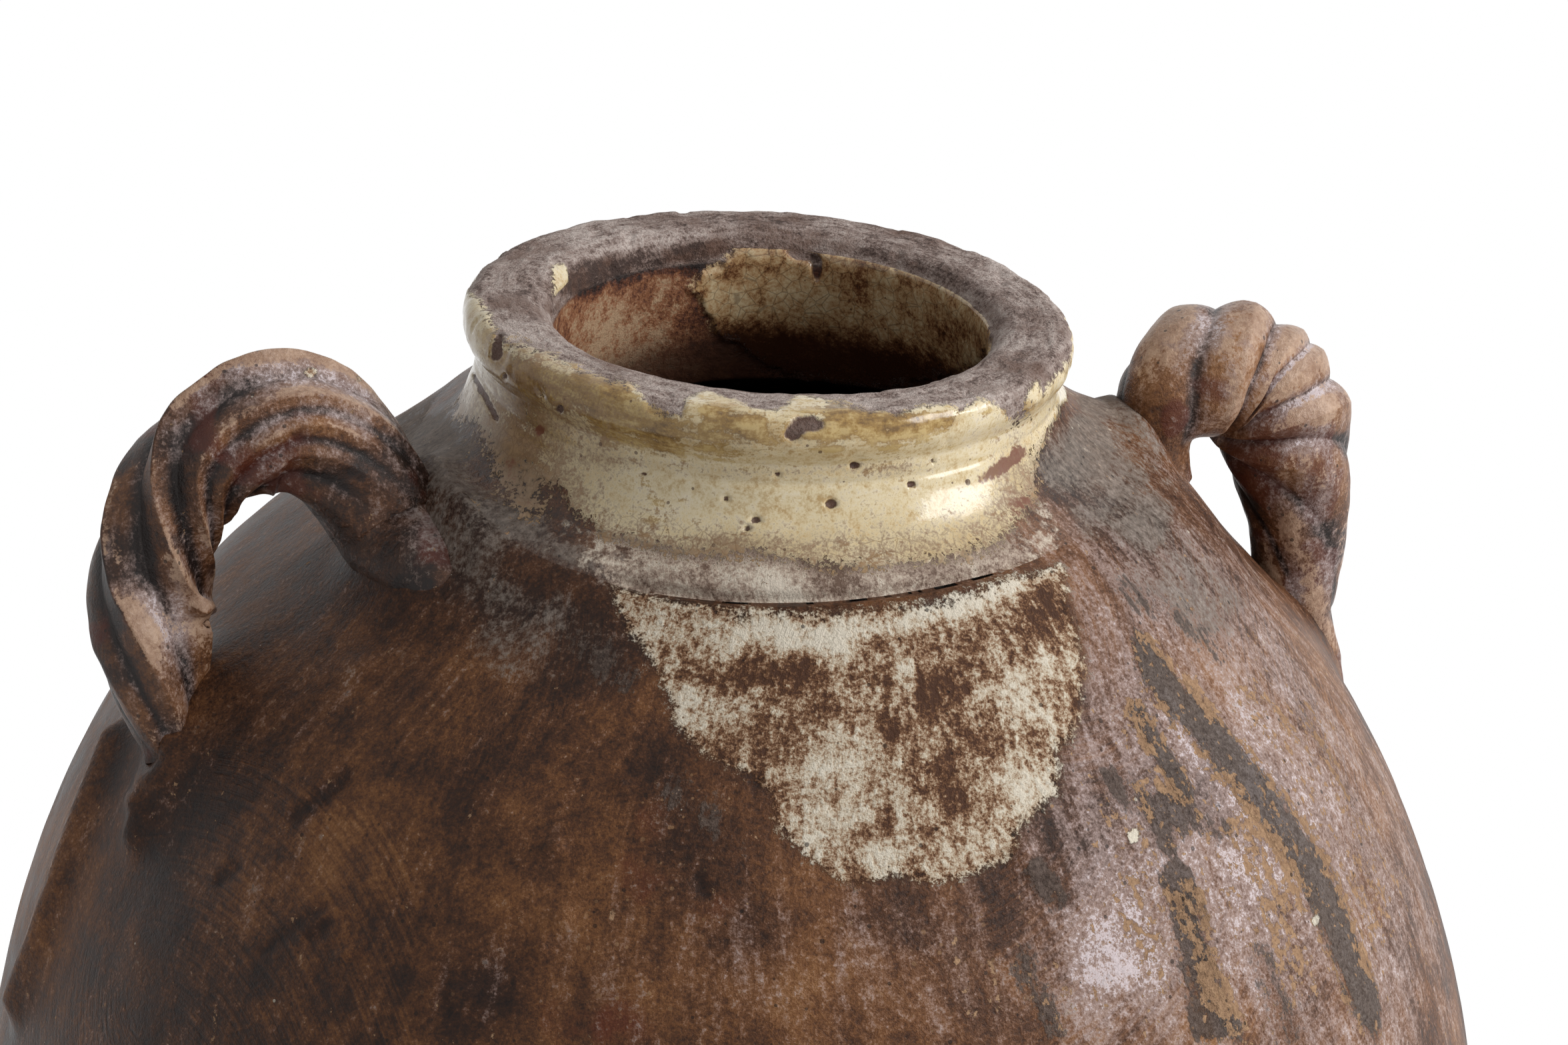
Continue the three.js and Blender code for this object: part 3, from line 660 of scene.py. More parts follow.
TAILS = [
    ([(190, 1096), (176, 1136), (149, 1200), (122, 1270), (96, 1340), (70, 1410), (50, 1460),
      (20, 1540)], 8, 6.5),
    ([(276, 1105), (279, 1151), (250, 1195), (223, 1232), (200, 1280)], 6, 4.0),
    ([(640, 770), (716, 804), (775, 824), (839, 853), (920, 882)], 9, 3.0),
]
# Spots that stand alone, all level
GLAZE_TONGUE = (838, 425, 16, 34)
BEIGE_SPOT = (1175, 880, 42, 30)
GREY_SPOT = (1245, 860, 55, 26)
TAN_FIELD = (1880, 1280, 300, 330)
KNOT = (304, 911, 15, 12)
KNOT_HOLE = (315, 938)
CREAM_DABS = ((465, 560, 12, 9), (540, 565, 9, 8))


# Masks over the turned skin


def front_depth(outline):
    """Distance inside an outline on the photograph, for the points that its camera sees."""
    depth = np.full(skin.shape[:2], -999.0)
    depth[near] = outline_depth(near_place, outline)
    return depth


def blend(share, hidden, seen):
    return hidden + (seen - hidden) * share


rough_noise = layered_noise(skin, 40, 41)
broad_noise = layered_noise(skin, 120, 51)
runs = layered_noise(flow * np.array([1, 1, 0.14]), 34, 61)
outside = ~is_inside
hidden = 1 - front

top_gap = LIP_TOP - 3 + 2.5 * rough_noise - height
foot_gap = above_seat - 17 + 7 * rough_noise
glaze_hidden = 0.5 + np.minimum(np.minimum(top_gap, foot_gap), radius - 99 + 2 * rough_noise) / 10
glaze_seen = 0.5 + front_depth(RIM_EDGE + GLAZE_FOOT) / 44
glaze = np.clip(blend(front, glaze_hidden, glaze_seen), 0, 1) + on_front(spot, *GLAZE_TONGUE)
bore_hidden = 0.5 + 0.5 * rough_noise + 0.5 * np.cos(np.radians(azimuth - 60))
bore_hidden -= smooth(LIP_TOP - 12, LIP_TOP - 4, height)
bore_seen = 0.5 + front_depth(BORE_GLAZE) / 64
glaze = np.where(is_inside, np.clip(blend(front, bore_hidden, bore_seen), 0, 1), glaze)
bare = np.where(is_inside, smooth(LIP_TOP - 16, LIP_TOP - 8, height), smooth(37, 45, above_seat))
chip = np.where(is_inside, spots(BORE_CHIPS), spots(CHIPS) + strokes(COLLAR_CRACKS))
# Brown stain low on the collar, and on its left also painted shade
stain = 0.7 * smooth(30, 6, above_seat) + 0.3 * rough_noise + spots(COLLAR_STAINS_AND_SHADE)
olive = strokes(OLIVE_STROKES) + hidden * smooth(36, 47, above_seat) * smooth(-0.2, 0.5, rough_noise)
rust = np.where(is_inside, 0.58 + 0.4 * rough_noise + spots(BORE_SPOTS), strokes(RUST_STROKES))
beige = on_front(spot, *BEIGE_SPOT) - 0.9 * on_front(spot, *GREY_SPOT)
band_and_deep_shade = smooth(-3, 2, above_seat) * smooth(27, 15, above_seat)
band_and_deep_shade = band_and_deep_shade * smooth(-132, -98, azimuth) * smooth(-28, -60, azimuth)
# Inside the mouth the same mask is painted shade, darker towards the bottom
band_and_deep_shade = np.where(is_inside, smooth(23, 5, above_seat + 4 * rough_noise), band_and_deep_shade)

apron = np.where(outside, np.clip(0.5 + front_depth(APRON) / 56, 0, 1) * smooth(0, 0.5, front), 0)
apron = apron + 1.2 * spots(PAINT_SPOTS)
pale = 0.5 + spots(APRON_PATCHES) + 1.4 * spots(PAINT_SPOTS)
grey = strokes(GREY_STROKES) + 0.2 * rough_noise + hidden * 0.35 * smooth(0.1, 0.6, broad_noise)
hidden_runs = smooth(0.22, 0.5, runs) * smooth(-0.1, 0.3, broad_noise)
drip = strokes(DRIPS) + hidden * 0.8 * hidden_runs
tan = strokes(TAN_FLAKES) + hidden * 0.3 * smooth(0.0, 0.4, runs) + 0.33 * on_front(spot, *TAN_FIELD)
warm = spots(WARM_PATCHES) + 0.25 * broad_noise
# Darker patches and gouges, and painted shade over all of the inside
dark_and_shade = spots(DARK_PATCHES) + 2.0 * is_inside + 0.7 * strokes(GOUGES)
red = spots(RED_PATCHES) + hidden * 0.4 * smooth(0.2, 0.6, -broad_noise)
# Pale haze and painted sheen, and on the hidden side more of it towards the right
haze_and_sheen = spots(HAZE_AND_SHEEN) + hidden * 0.3 * smooth(0.1, 0.5, -runs) * smooth(0, 90, azimuth + 60)
crust = strokes(CRUST) + hidden * 0.5 * smooth(0.1, 0.5, runs) * smooth(0.1, 0.5, -broad_noise)
grit = spots(GRIT) + 0.3 * hidden


ARC_FANS, ARC_SEED = 90, 7


def wiped_arcs(count, seed):
    """Places along and across fans of fine arcs left by wiping, and how strong each is."""
    rng = np.random.default_rng(seed)
    across = rng.uniform(-math.pi, math.pi, count) * BELLY_RADIUS
    seeds = np.stack([across, rng.uniform(150, 900, count)], -1)
    bearing = rng.uniform(0, 2 * math.pi, count)
    pivots = seeds + rng.uniform(70, 260, count)[:, None] * np.stack([np.cos(bearing), np.sin(bearing)], -1)
    here = np.stack([np.radians(azimuth) * BELLY_RADIUS, flow[..., 2]], -1)
    best = np.full(azimuth.shape, 1e9)
    second = best.copy()
    owner = np.zeros(azimuth.shape, int)
    for index, middle in enumerate(seeds):
        gap = np.linalg.norm(here - middle, axis=-1)
        second = np.minimum(second, np.maximum(best, gap))
        owner = np.where(gap < best, index, owner)
        best = np.minimum(best, gap)
    away = here - pivots[owner]
    reach = np.linalg.norm(away, axis=-1)
    along = np.arctan2(away[..., 1], away[..., 0]) * 150
    strength = smooth(3, 22, second - best) * smooth(170, 140, abs(azimuth))
    strength = strength * rng.uniform(0.2, 1, count)[owner]
    return along + 37.0 * owner, reach, strength * (above_seat < -4) * outside


arc_along, arc_across, arc_strength = wiped_arcs(ARC_FANS, ARC_SEED)

# Shape of the skin

# Heights over the seat between which the clay under the neck is raised upright and not along the normal
NECK_ROOT = (-42, -12)
GROOVE_RADIUS = 122.6


def luted_fillet(points):
    """Clay pressed round the roots of the handles."""
    most = np.zeros(points.shape[:-1])
    for handle, rope in ((LEFT, ropes["left"]), (RIGHT, ropes["right"])):
        distance, middle = rope[0], rope[4]
        girth = eased(handle["girth"], distance)
        rooted = (distance < 26) | (distance > distance[-1] - 54)
        root = middle[np.searchsorted(distance, 0)]
        away = np.hypot(points[..., 0] - neck_shift(points[..., 2]), points[..., 1])
        by_neck = smooth(*NECK_ROOT, points[..., 2] - SEAT)
        neckward = smooth(8, -12, away - np.hypot(root[0] - neck_shift(root[2]), root[1]))
        least = 5.5 if handle["strap"] else 0.0
        for centre, reach in zip(middle[rooted][::4], girth[rooted][::4]):
            gap = np.clip(np.linalg.norm(points - centre, axis=-1) - reach, 0, None)
            luting = min(handle["luting"], max(0.5 * reach, least)) * np.exp(-gap / 9.0)
            only_neckward = handle["strap"] == 0 and centre[2] > SEAT - 40
            most = np.maximum(most, luting * (neckward if only_neckward else 1.0))
        for centre, reach in zip(middle[distance < 34][::5], girth[distance < 34][::5]):
            gap = np.clip(np.linalg.norm(points - centre, axis=-1) - reach, 0, None)
            most = np.maximum(most, by_neck * neckward * handle["web"] * np.exp(-gap / 15.0))
    return most


def around(bearing, width):
    """1 at a bearing round the neck, in degrees, fading out either way."""
    away = (azimuth - bearing + 180) % 360 - 180
    return np.exp(-(away / width) ** 2)


def ridge_gap(line):
    """Distance of the skin from a line across it, which is given on the photograph."""
    corners = np.array(line, float)
    steps = np.linspace(0, len(corners) - 1, 12 * len(corners))
    spread = places_along(steps, np.arange(len(corners)), corners)
    seen = skin[near]
    crest = np.array([seen[np.argmin(((near_place - here) ** 2).sum(-1))] for here in spread])
    crest = np.stack([np.convolve(crest[:, k], soft_window(15), "valid") for k in range(3)], -1)
    gap = np.full(skin.shape[:2], 1e9)
    for middle in crest:
        gap = np.minimum(gap, ((skin - middle) ** 2).sum(-1))
    return np.sqrt(gap)


neck = smooth(-12, 6, above_seat)
lift = (1.4 * value_noise(skin, 110, 3) + 0.6 * value_noise(skin, 36, 4)) * (1 - 0.55 * neck)
lift += 0.2 * value_noise(skin, 12, 5)
groove_share = 0.05 + 0.95 * smooth(-128, -100, azimuth) * smooth(-42, -60, azimuth)
groove_gap = radius - GROOVE_RADIUS
by_groove = (abs(above_seat) < 14) & outside
groove = -2.6 * np.exp(-(groove_gap / 1.5) ** 2) + 1.5 * np.exp(-((groove_gap - 4.6) / 2.6) ** 2)
groove += 0.8 * np.exp(-((groove_gap + 5.5) / 3.5) ** 2)
lift += np.where(by_groove, groove * groove_share, 0)
on_collar = smooth(2, 8, above_seat) * smooth(40, 34, above_seat) * outside
lift += on_collar * 0.35 * value_noise(np.stack([azimuth * 0.4, azimuth * 0, above_seat], -1), 7, 9)
lift -= 0.6 * np.exp(-((above_seat - 31.5 - 1.5 * value_noise(skin, 60, 10)) / 1.3) ** 2) * outside
lift += bare * (0.34 * value_noise(skin, 10, 21) + 0.26 * value_noise(skin, 4.5, 22))
lift -= bare * 0.7 * smooth(0.4, 0.8, value_noise(skin, 6, 23))
lift += 0.55 * smooth(0.42, 0.56, glaze + 0.16 * value_noise(skin, 4, 24)) * (neck + is_inside)
lift += 0.45 * drip - 1.1 * smooth(0.3, 0.7, chip)
shoulder = (height > 470) & outside & (above_seat < 34)
fillet = np.zeros(skin.shape[:2])
fillet[shoulder] = luted_fillet(skin[shoulder])
fillet *= smooth(34, 16, above_seat)
seat_gap = abs(np.broadcast_to((arc - arc[starts[4]])[:, None], azimuth.shape))
saddle = np.exp(-seat_gap / 22) * outside
by_neck = smooth(*NECK_ROOT, above_seat) * outside
upward = by_neck * np.maximum(fillet, saddle * 12.5 * around(202, 30))
slack = np.exp(-seat_gap / 34) * smooth(34, 6, above_seat) * outside
hollow = 9.0 * around(33, 13) * np.exp(-seat_gap / 14) * smooth(20, 2, above_seat) * outside
upward = np.maximum(upward, 9.5 * around(148, 30) * slack) - hollow
lift += (1 - by_neck) * fillet
lift += 2.0 * around(186, 26) * smooth(240, 330, height) * smooth(600, 540, height) * outside
lift += 1.2 * around(185, 42) * smooth(12, 24, above_seat) * smooth(50, 42, above_seat) * outside
for line, width, rise in TAILS:
    gap = ridge_gap(line)
    lift += outside * rise * np.exp(-(gap / width) ** 2) * smooth(0, 30, height - 150)
lift += outside * spots(LUMPS)
for line, width, depth in GOUGES:
    cut = on_front(stroke, line, width)
    lip_of_cut = on_front(stroke, line, width * 2.4)
    lift += outside * depth * (0.55 * lip_of_cut - 1.4 * cut)
lift *= smooth(0, 14, height) * outside + is_inside
skin = skin + skin_normal * lift[..., None] + UP * upward[..., None]
skin_normal = grid_normals(skin)
skin_masks = {
    "coats": (apron, pale, grey),
    "soil_wear_and_light": (drip, tan, -spots(RIM_CHAR)),
    "tone": (warm, dark_and_shade, red),
    "glazing": (glaze, bare, is_inside * 1.0),
    "damage": (np.clip(chip, 0, 1), stain, olive),
    "stains": (rust, beige, band_and_deep_shade),
    "film_and_sheen": (haze_and_sheen, crust, grit),
    "arcs": (arc_along * MM, arc_across * MM, arc_strength),
    "flow": tuple(np.moveaxis(flow, -1, 0) * MM),
}


# Shape and masks of the handles


def rope_normals(points, middle):
    normal = grid_normals(points)
    outward = ((points - middle[:, None]) * normal).sum(-1).mean()
    return normal if outward > 0 else -normal


def clear_of_hollow(points):
    """Keeps a handle's roots from coming through the wall."""
    shift = neck_shift(points[..., 2])
    reach = np.hypot(points[..., 0] - shift, points[..., 1])
    least = outer_radius(np.minimum(points[..., 2], SEAT)) - ROOT_DEPTH
    share = np.where(reach < least, least / reach, 1.0)
    return np.stack([(points[..., 0] - shift) * share + shift, points[..., 1] * share, points[..., 2]], -1)


def dressed_rope(handle, distance, points, crest, middle):
    """The rope's surface with its small lumps, its normals and its masks."""
    normal = rope_normals(points, middle)
    seen = smooth(0.02, 0.16, facing(points, normal))
    where = picture_place(points)
    rough = 0.55 * value_noise(points, 14, 71) + 0.28 * value_noise(points, 5, 72)
    knot = 4.0 * spot(where, *KNOT) - 4.5 * spot(where, *KNOT_HOLE, 6, 5)
    points = clear_of_hollow(points + normal * (rough + seen * knot)[..., None])
    normal = rope_normals(points, middle)
    patchy = layered_noise(points, 26, 81)
    cream = seen * (spot(where, *CREAM_DABS[0]) + 0.9 * spot(where, *CREAM_DABS[1]))
    # Painted shade in the knot's hole
    hole_shade = seen * spot(where, *KNOT_HOLE, 8, 7)
    none = np.zeros(crest.shape)
    valley = smooth(0.45, 0.0, crest)
    begins, begun, ended = handle["bared"]
    free = smooth(begins, begun, distance) * smooth(distance[-1], distance[-1] - ended, distance)
    free = free[:, None]
    lit_side = smooth(*handle["shade"], normal[..., 0])
    mottled = smooth(0.05, 0.4, layered_noise(points, 20, 83))
    stained = smooth(0.08, 0.42, layered_noise(points, 24, 85))
    # Wear with painted light: more of it on upward faces and on the side towards the light
    wear_and_painted_light = free * (0.2 + 0.62 * smooth(0.25, 0.95, crest)) * (0.85 + 1.1 * patchy)
    wear_and_painted_light = wear_and_painted_light * (0.72 + 0.75 * smooth(-0.1, 0.9, normal[..., 2])) * (0.3 + 0.7 * lit_side)
    # Darker valleys and mottling, with painted shade in the knot's hole and on the side away from the light
    dark_and_shade = free * 1.5 * valley + 2 * hole_shade + 0.9 * mottled + 0.25 * (1 - lit_side)
    # Pale film with painted sheen, stronger on tops and on the side towards the light
    haze_and_sheen = handle["veil_and_sheen"] * (0.5 + 0.6 * smooth(0.0, 0.9, normal[..., 2])) * (0.1 + 0.9 * lit_side)
    haze_and_sheen = haze_and_sheen * (1 + patchy) * (0.5 + 0.5 * free)
    masks = {
        "coats": (cream, none + 0.8, 0.15 * patchy + 0.2 * smooth(34, -6, distance)[:, None]),
        "soil_wear_and_light": (none, none, wear_and_painted_light - 0.25 * stained),
        "tone": (0.5 * free * crest + 0.3 * patchy, dark_and_shade, 0.85 * stained),
        "film_and_sheen": (haze_and_sheen, none, none),
        "arcs": (none, none, none),
        "flow": tuple(np.moveaxis(points, -1, 0) * MM),
    }
    return points, normal, masks


# Pieces


def add_piece(name, points, normals, masks, nodes, material, ring=False):
    """A closed piece from rows of points. Its columns wrap round, and its rows do too or else end in caps."""
    masks = {key: np.stack(value, -1) for key, value in masks.items()}
    if not ring:
        ends = (points[:1].mean(1, keepdims=True), points[-1:].mean(1, keepdims=True))
        spread = np.ones((1, points.shape[1], 1))
        points = np.concatenate([ends[0] * spread, points, ends[1] * spread])
        normals = np.concatenate([normals[:1], normals, normals[-1:]])
        masks = {key: np.concatenate([value[:1], value, value[-1:]]) for key, value in masks.items()}
    rows, columns = points.shape[:2]
    row, column = np.meshgrid(np.arange(rows if ring else rows - 1), np.arange(columns), indexing="ij")
    row, column = row.ravel(), column.ravel()
    corner_row = np.stack([row, row, row + 1, row + 1], -1)
    corner_column = np.stack([column, column + 1, column + 1, column], -1)
    quads = (corner_row % rows) * columns + corner_column % columns
    flat = points.reshape(-1, 3)
    a, b, c, d = (flat[quads[:, k]] for k in range(4))
    volume = (a * (np.cross(b, c) + np.cross(c, d))).sum()
    if volume < 0:
        quads, corner_row, corner_column = quads[:, ::-1], corner_row[:, ::-1], corner_column[:, ::-1]
    mesh = bpy.data.meshes.new(name)
    mesh.from_pydata((flat * MM).tolist(), [], quads.tolist())
    chart = mesh.uv_layers.new(name="OFBake")
    chart.data.foreach_set("uv", np.stack([corner_column / columns, corner_row / rows], -1).ravel())
    for key, value in masks.items():
        layer = mesh.attributes.new(key, "FLOAT_VECTOR", "POINT")
        layer.data.foreach_set("vector", value.reshape(-1, 3).ravel().astype(np.float32))
    mesh.shade_smooth()
    mesh.normals_split_custom_set_from_vertices(normals.reshape(-1, 3).tolist())
    mesh.materials.append(material)
    piece = bpy.data.objects.new(name, mesh)
    bpy.context.scene.collection.objects.link(piece)
    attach(piece, "root")
    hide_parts(*nodes)


# Materials


def tint(red_part, green_part, blue_part):
    """Linear colour from screen values up to 255."""
    share = np.array([red_part, green_part, blue_part]) / 255
    linear = np.where(share <= 0.04045, share / 12.92, ((share + 0.055) / 1.055) ** 2.4)
    return (*linear, 1.0)


class Paint:
    """Node tree of one material or world. Sizes are in millimetres."""

    def __init__(self, owner):
        self.owner = owner
        owner.use_nodes = True
        self.tree = owner.node_tree
        self.tree.nodes.clear()
        self.here = self.node("ShaderNodeTexCoord").outputs["Object"]

    def node(self, kind, **settings):
        node = self.tree.nodes.new(kind)
        for key, value in settings.items():
            setattr(node, key, value)
        return node

    def feed(self, socket, value):
        if isinstance(value, bpy.types.NodeSocket):
            self.tree.links.new(value, socket)
        else:
            socket.default_value = value

    def maths(self, operation, *values):
        node = self.node("ShaderNodeMath", operation=operation)
        for socket, value in zip(node.inputs, values):
            self.feed(socket, value)
        return node.outputs[0]

    def times(self, *values):
        return self.maths("MULTIPLY", *values)

    def total(self, start, *terms):
        """start plus each value times its weight."""
        for value, weight in terms:
            start = self.maths("MULTIPLY_ADD", value, weight, start)
        return start

    def spread(self, value, low, high, to_low=0.0, to_high=1.0, kind="SMOOTHSTEP"):
        node = self.node("ShaderNodeMapRange", interpolation_type=kind)
        for socket, given in zip(node.inputs, (value, low, high, to_low, to_high)):
            self.feed(socket, given)
        return node.outputs[0]

    def cover(self, edges, start, *terms, most=1.0):
        """Share that a coat covers: a weighted total, eased in from the first edge to the second."""
        return self.spread(self.total(start, *terms), *edges, 0.0, most)

    def split(self, vector):
        parts = self.node("ShaderNodeSeparateXYZ")
        self.feed(parts.inputs[0], vector)
        return parts.outputs

    def attribute(self, name):
        return self.node("ShaderNodeAttribute", attribute_name=name).outputs["Vector"]

    def masks(self, name):
        return self.split(self.attribute(name))

    def stretched(self, name, x, y, z):
        node = self.node("ShaderNodeVectorMath", operation="MULTIPLY")
        self.feed(node.inputs[0], self.attribute(name))
        node.inputs[1].default_value = (x, y, z)
        return node.outputs[0]

    def noise(self, size, detail=4.0, rough=0.6, at=None, warp=0.0):
        """Noise about zero, mostly within a half either way."""
        node = self.node("ShaderNodeTexNoise")
        self.feed(node.inputs["Vector"], at or self.here)
        node.inputs["Scale"].default_value = 1000.0 / size
        node.inputs["Detail"].default_value = detail
        node.inputs["Roughness"].default_value = rough
        node.inputs["Distortion"].default_value = warp
        return self.maths("MULTIPLY_ADD", node.outputs[0], 2.0, -1.0)

    def cells(self, size, feature="F1"):
        node = self.node("ShaderNodeTexVoronoi", feature=feature)
        self.feed(node.inputs["Vector"], self.here)
        node.inputs["Scale"].default_value = 1000.0 / size
        return node

    def specks(self, size, radius, share):
        """1 in small round specks, one at most in each cell, in that share of the cells."""
        node = self.cells(size)
        draws = self.split(node.outputs["Color"])
        chosen = self.maths("LESS_THAN", draws[0], share)
        reach = self.maths("MULTIPLY_ADD", draws[1], radius / size, 0.4 * radius / size)
        inside = self.maths("LESS_THAN", node.outputs["Distance"], reach)
        return self.times(chosen, inside)

    def tones(self, stops, start, *terms):
        """Colour from a row of stops, at a weighted total."""
        node = self.node("ShaderNodeValToRGB")
        elements = node.color_ramp.elements
        while len(elements) < len(stops):
            elements.new(0.5)
        for element, (position, colour) in zip(elements, stops):
            element.position = position
            element.color = tint(*colour)
        self.feed(node.inputs[0], self.total(start, *terms))
        return node.outputs[0]

    def mix(self, share, under, over):
        node = self.node("ShaderNodeMix", data_type="RGBA")
        for index, value in ((0, share), (6, under), (7, over)):
            self.feed(node.inputs[index], value)
        return node.outputs[2]

    def ease(self, share, under, over):
        node = self.node("ShaderNodeMix", data_type="FLOAT")
        for index, value in ((0, share), (2, under), (3, over)):
            self.feed(node.inputs[index], value)
        return node.outputs[0]

    def stain(self, share, colour):
        self.colour = self.mix(share, self.colour, colour)

    def lay(self, share, colour, roughness, *raised):
        """Lays a coat over those before it, with its colour, its roughness and what it adds to the relief."""
        self.stain(share, colour)
        self.roughness = self.ease(share, self.roughness, roughness)
        self.relief = self.total(self.relief, *raised)

    def straight_rays(self):
        """1 for rays that come from the camera, a mirror or glass."""
        rays = self.node("ShaderNodeLightPath").outputs
        straight = self.maths("MAXIMUM", rays["Is Camera Ray"], rays["Is Glossy Ray"])
        return self.maths("MAXIMUM", straight, rays["Is Transmission Ray"])

    def done(self, shine):
        """Joins up the surface. Relief is in millimetres, and shine is the specular level."""
        bump = self.node("ShaderNodeBump")
        bump.inputs["Distance"].default_value = MM
        self.feed(bump.inputs["Height"], self.relief)
        surface = self.node("ShaderNodeBsdfPrincipled")
        self.feed(surface.inputs["Base Color"], self.colour)
        self.feed(surface.inputs["Roughness"], self.roughness)
        surface.inputs["Specular IOR Level"].default_value = shine
        self.feed(surface.inputs["Normal"], bump.outputs[0])
        output = self.node("ShaderNodeOutputMaterial")
        self.feed(output.inputs["Surface"], surface.outputs[0])
        return self.owner


# Colours of each coat, from its darkest places to its palest
CLAY = [
    (0.08, (28, 18, 15)), (0.32, (55, 35, 25)), (0.5, (87, 56, 37)), (0.68, (120, 80, 50)),
    (0.92, (157, 113, 73)),
]
APRON_SLIP = [
    (0.06, (74, 48, 34)), (0.28, (112, 77, 52)), (0.46, (158, 127, 100)), (0.66, (198, 180, 156)),
    (0.96, (224, 214, 196)),
]
IVORY = [(0.2, (186, 156, 108)), (0.5, (219, 202, 164)), (0.8, (234, 223, 199))]
OCHRE = [(0.2, (106, 74, 34)), (0.5, (152, 116, 54)), (0.8, (194, 166, 108))]
RIM_STONE = [(0.1, (70, 54, 48)), (0.34, (122, 103, 95)), (0.58, (168, 151, 143)), (0.9, (204, 190, 182))]
FILM_AND_SHEEN = [(0.15, (118, 99, 93)), (0.5, (162, 143, 138)), (0.75, (194, 179, 178)), (0.95, (214, 203, 206))]
BORE_RUST = [(0.15, (36, 26, 24)), (0.42, (92, 54, 38)), (0.62, (140, 92, 62)), (0.9, (176, 146, 116))]
LINING_GLAZE_AND_SHADE = [(0.12, (60, 34, 22)), (0.34, (122, 82, 54)), (0.55, (182, 146, 104)), (0.85, (214, 194, 156))]
BAND = [(0.15, (100, 78, 64)), (0.42, (156, 136, 121)), (0.65, (190, 173, 156)), (0.9, (218, 206, 189))]
SCUM = [(0.2, (76, 68, 62)), (0.8, (146, 136, 127))]
BUBBLED = [(0.2, (44, 35, 31)), (0.8, (100, 85, 76))]
RUN = [(0.2, (56, 47, 43)), (0.8, (106, 95, 88))]
SCALE = [(0.2, (126, 97, 74)), (0.8, (178, 144, 112))]
RUBBED = [(0.2, (140, 106, 84)), (0.8, (194, 162, 136))]
SOAKED = [(0.2, (92, 64, 42)), (0.8, (150, 120, 88))]


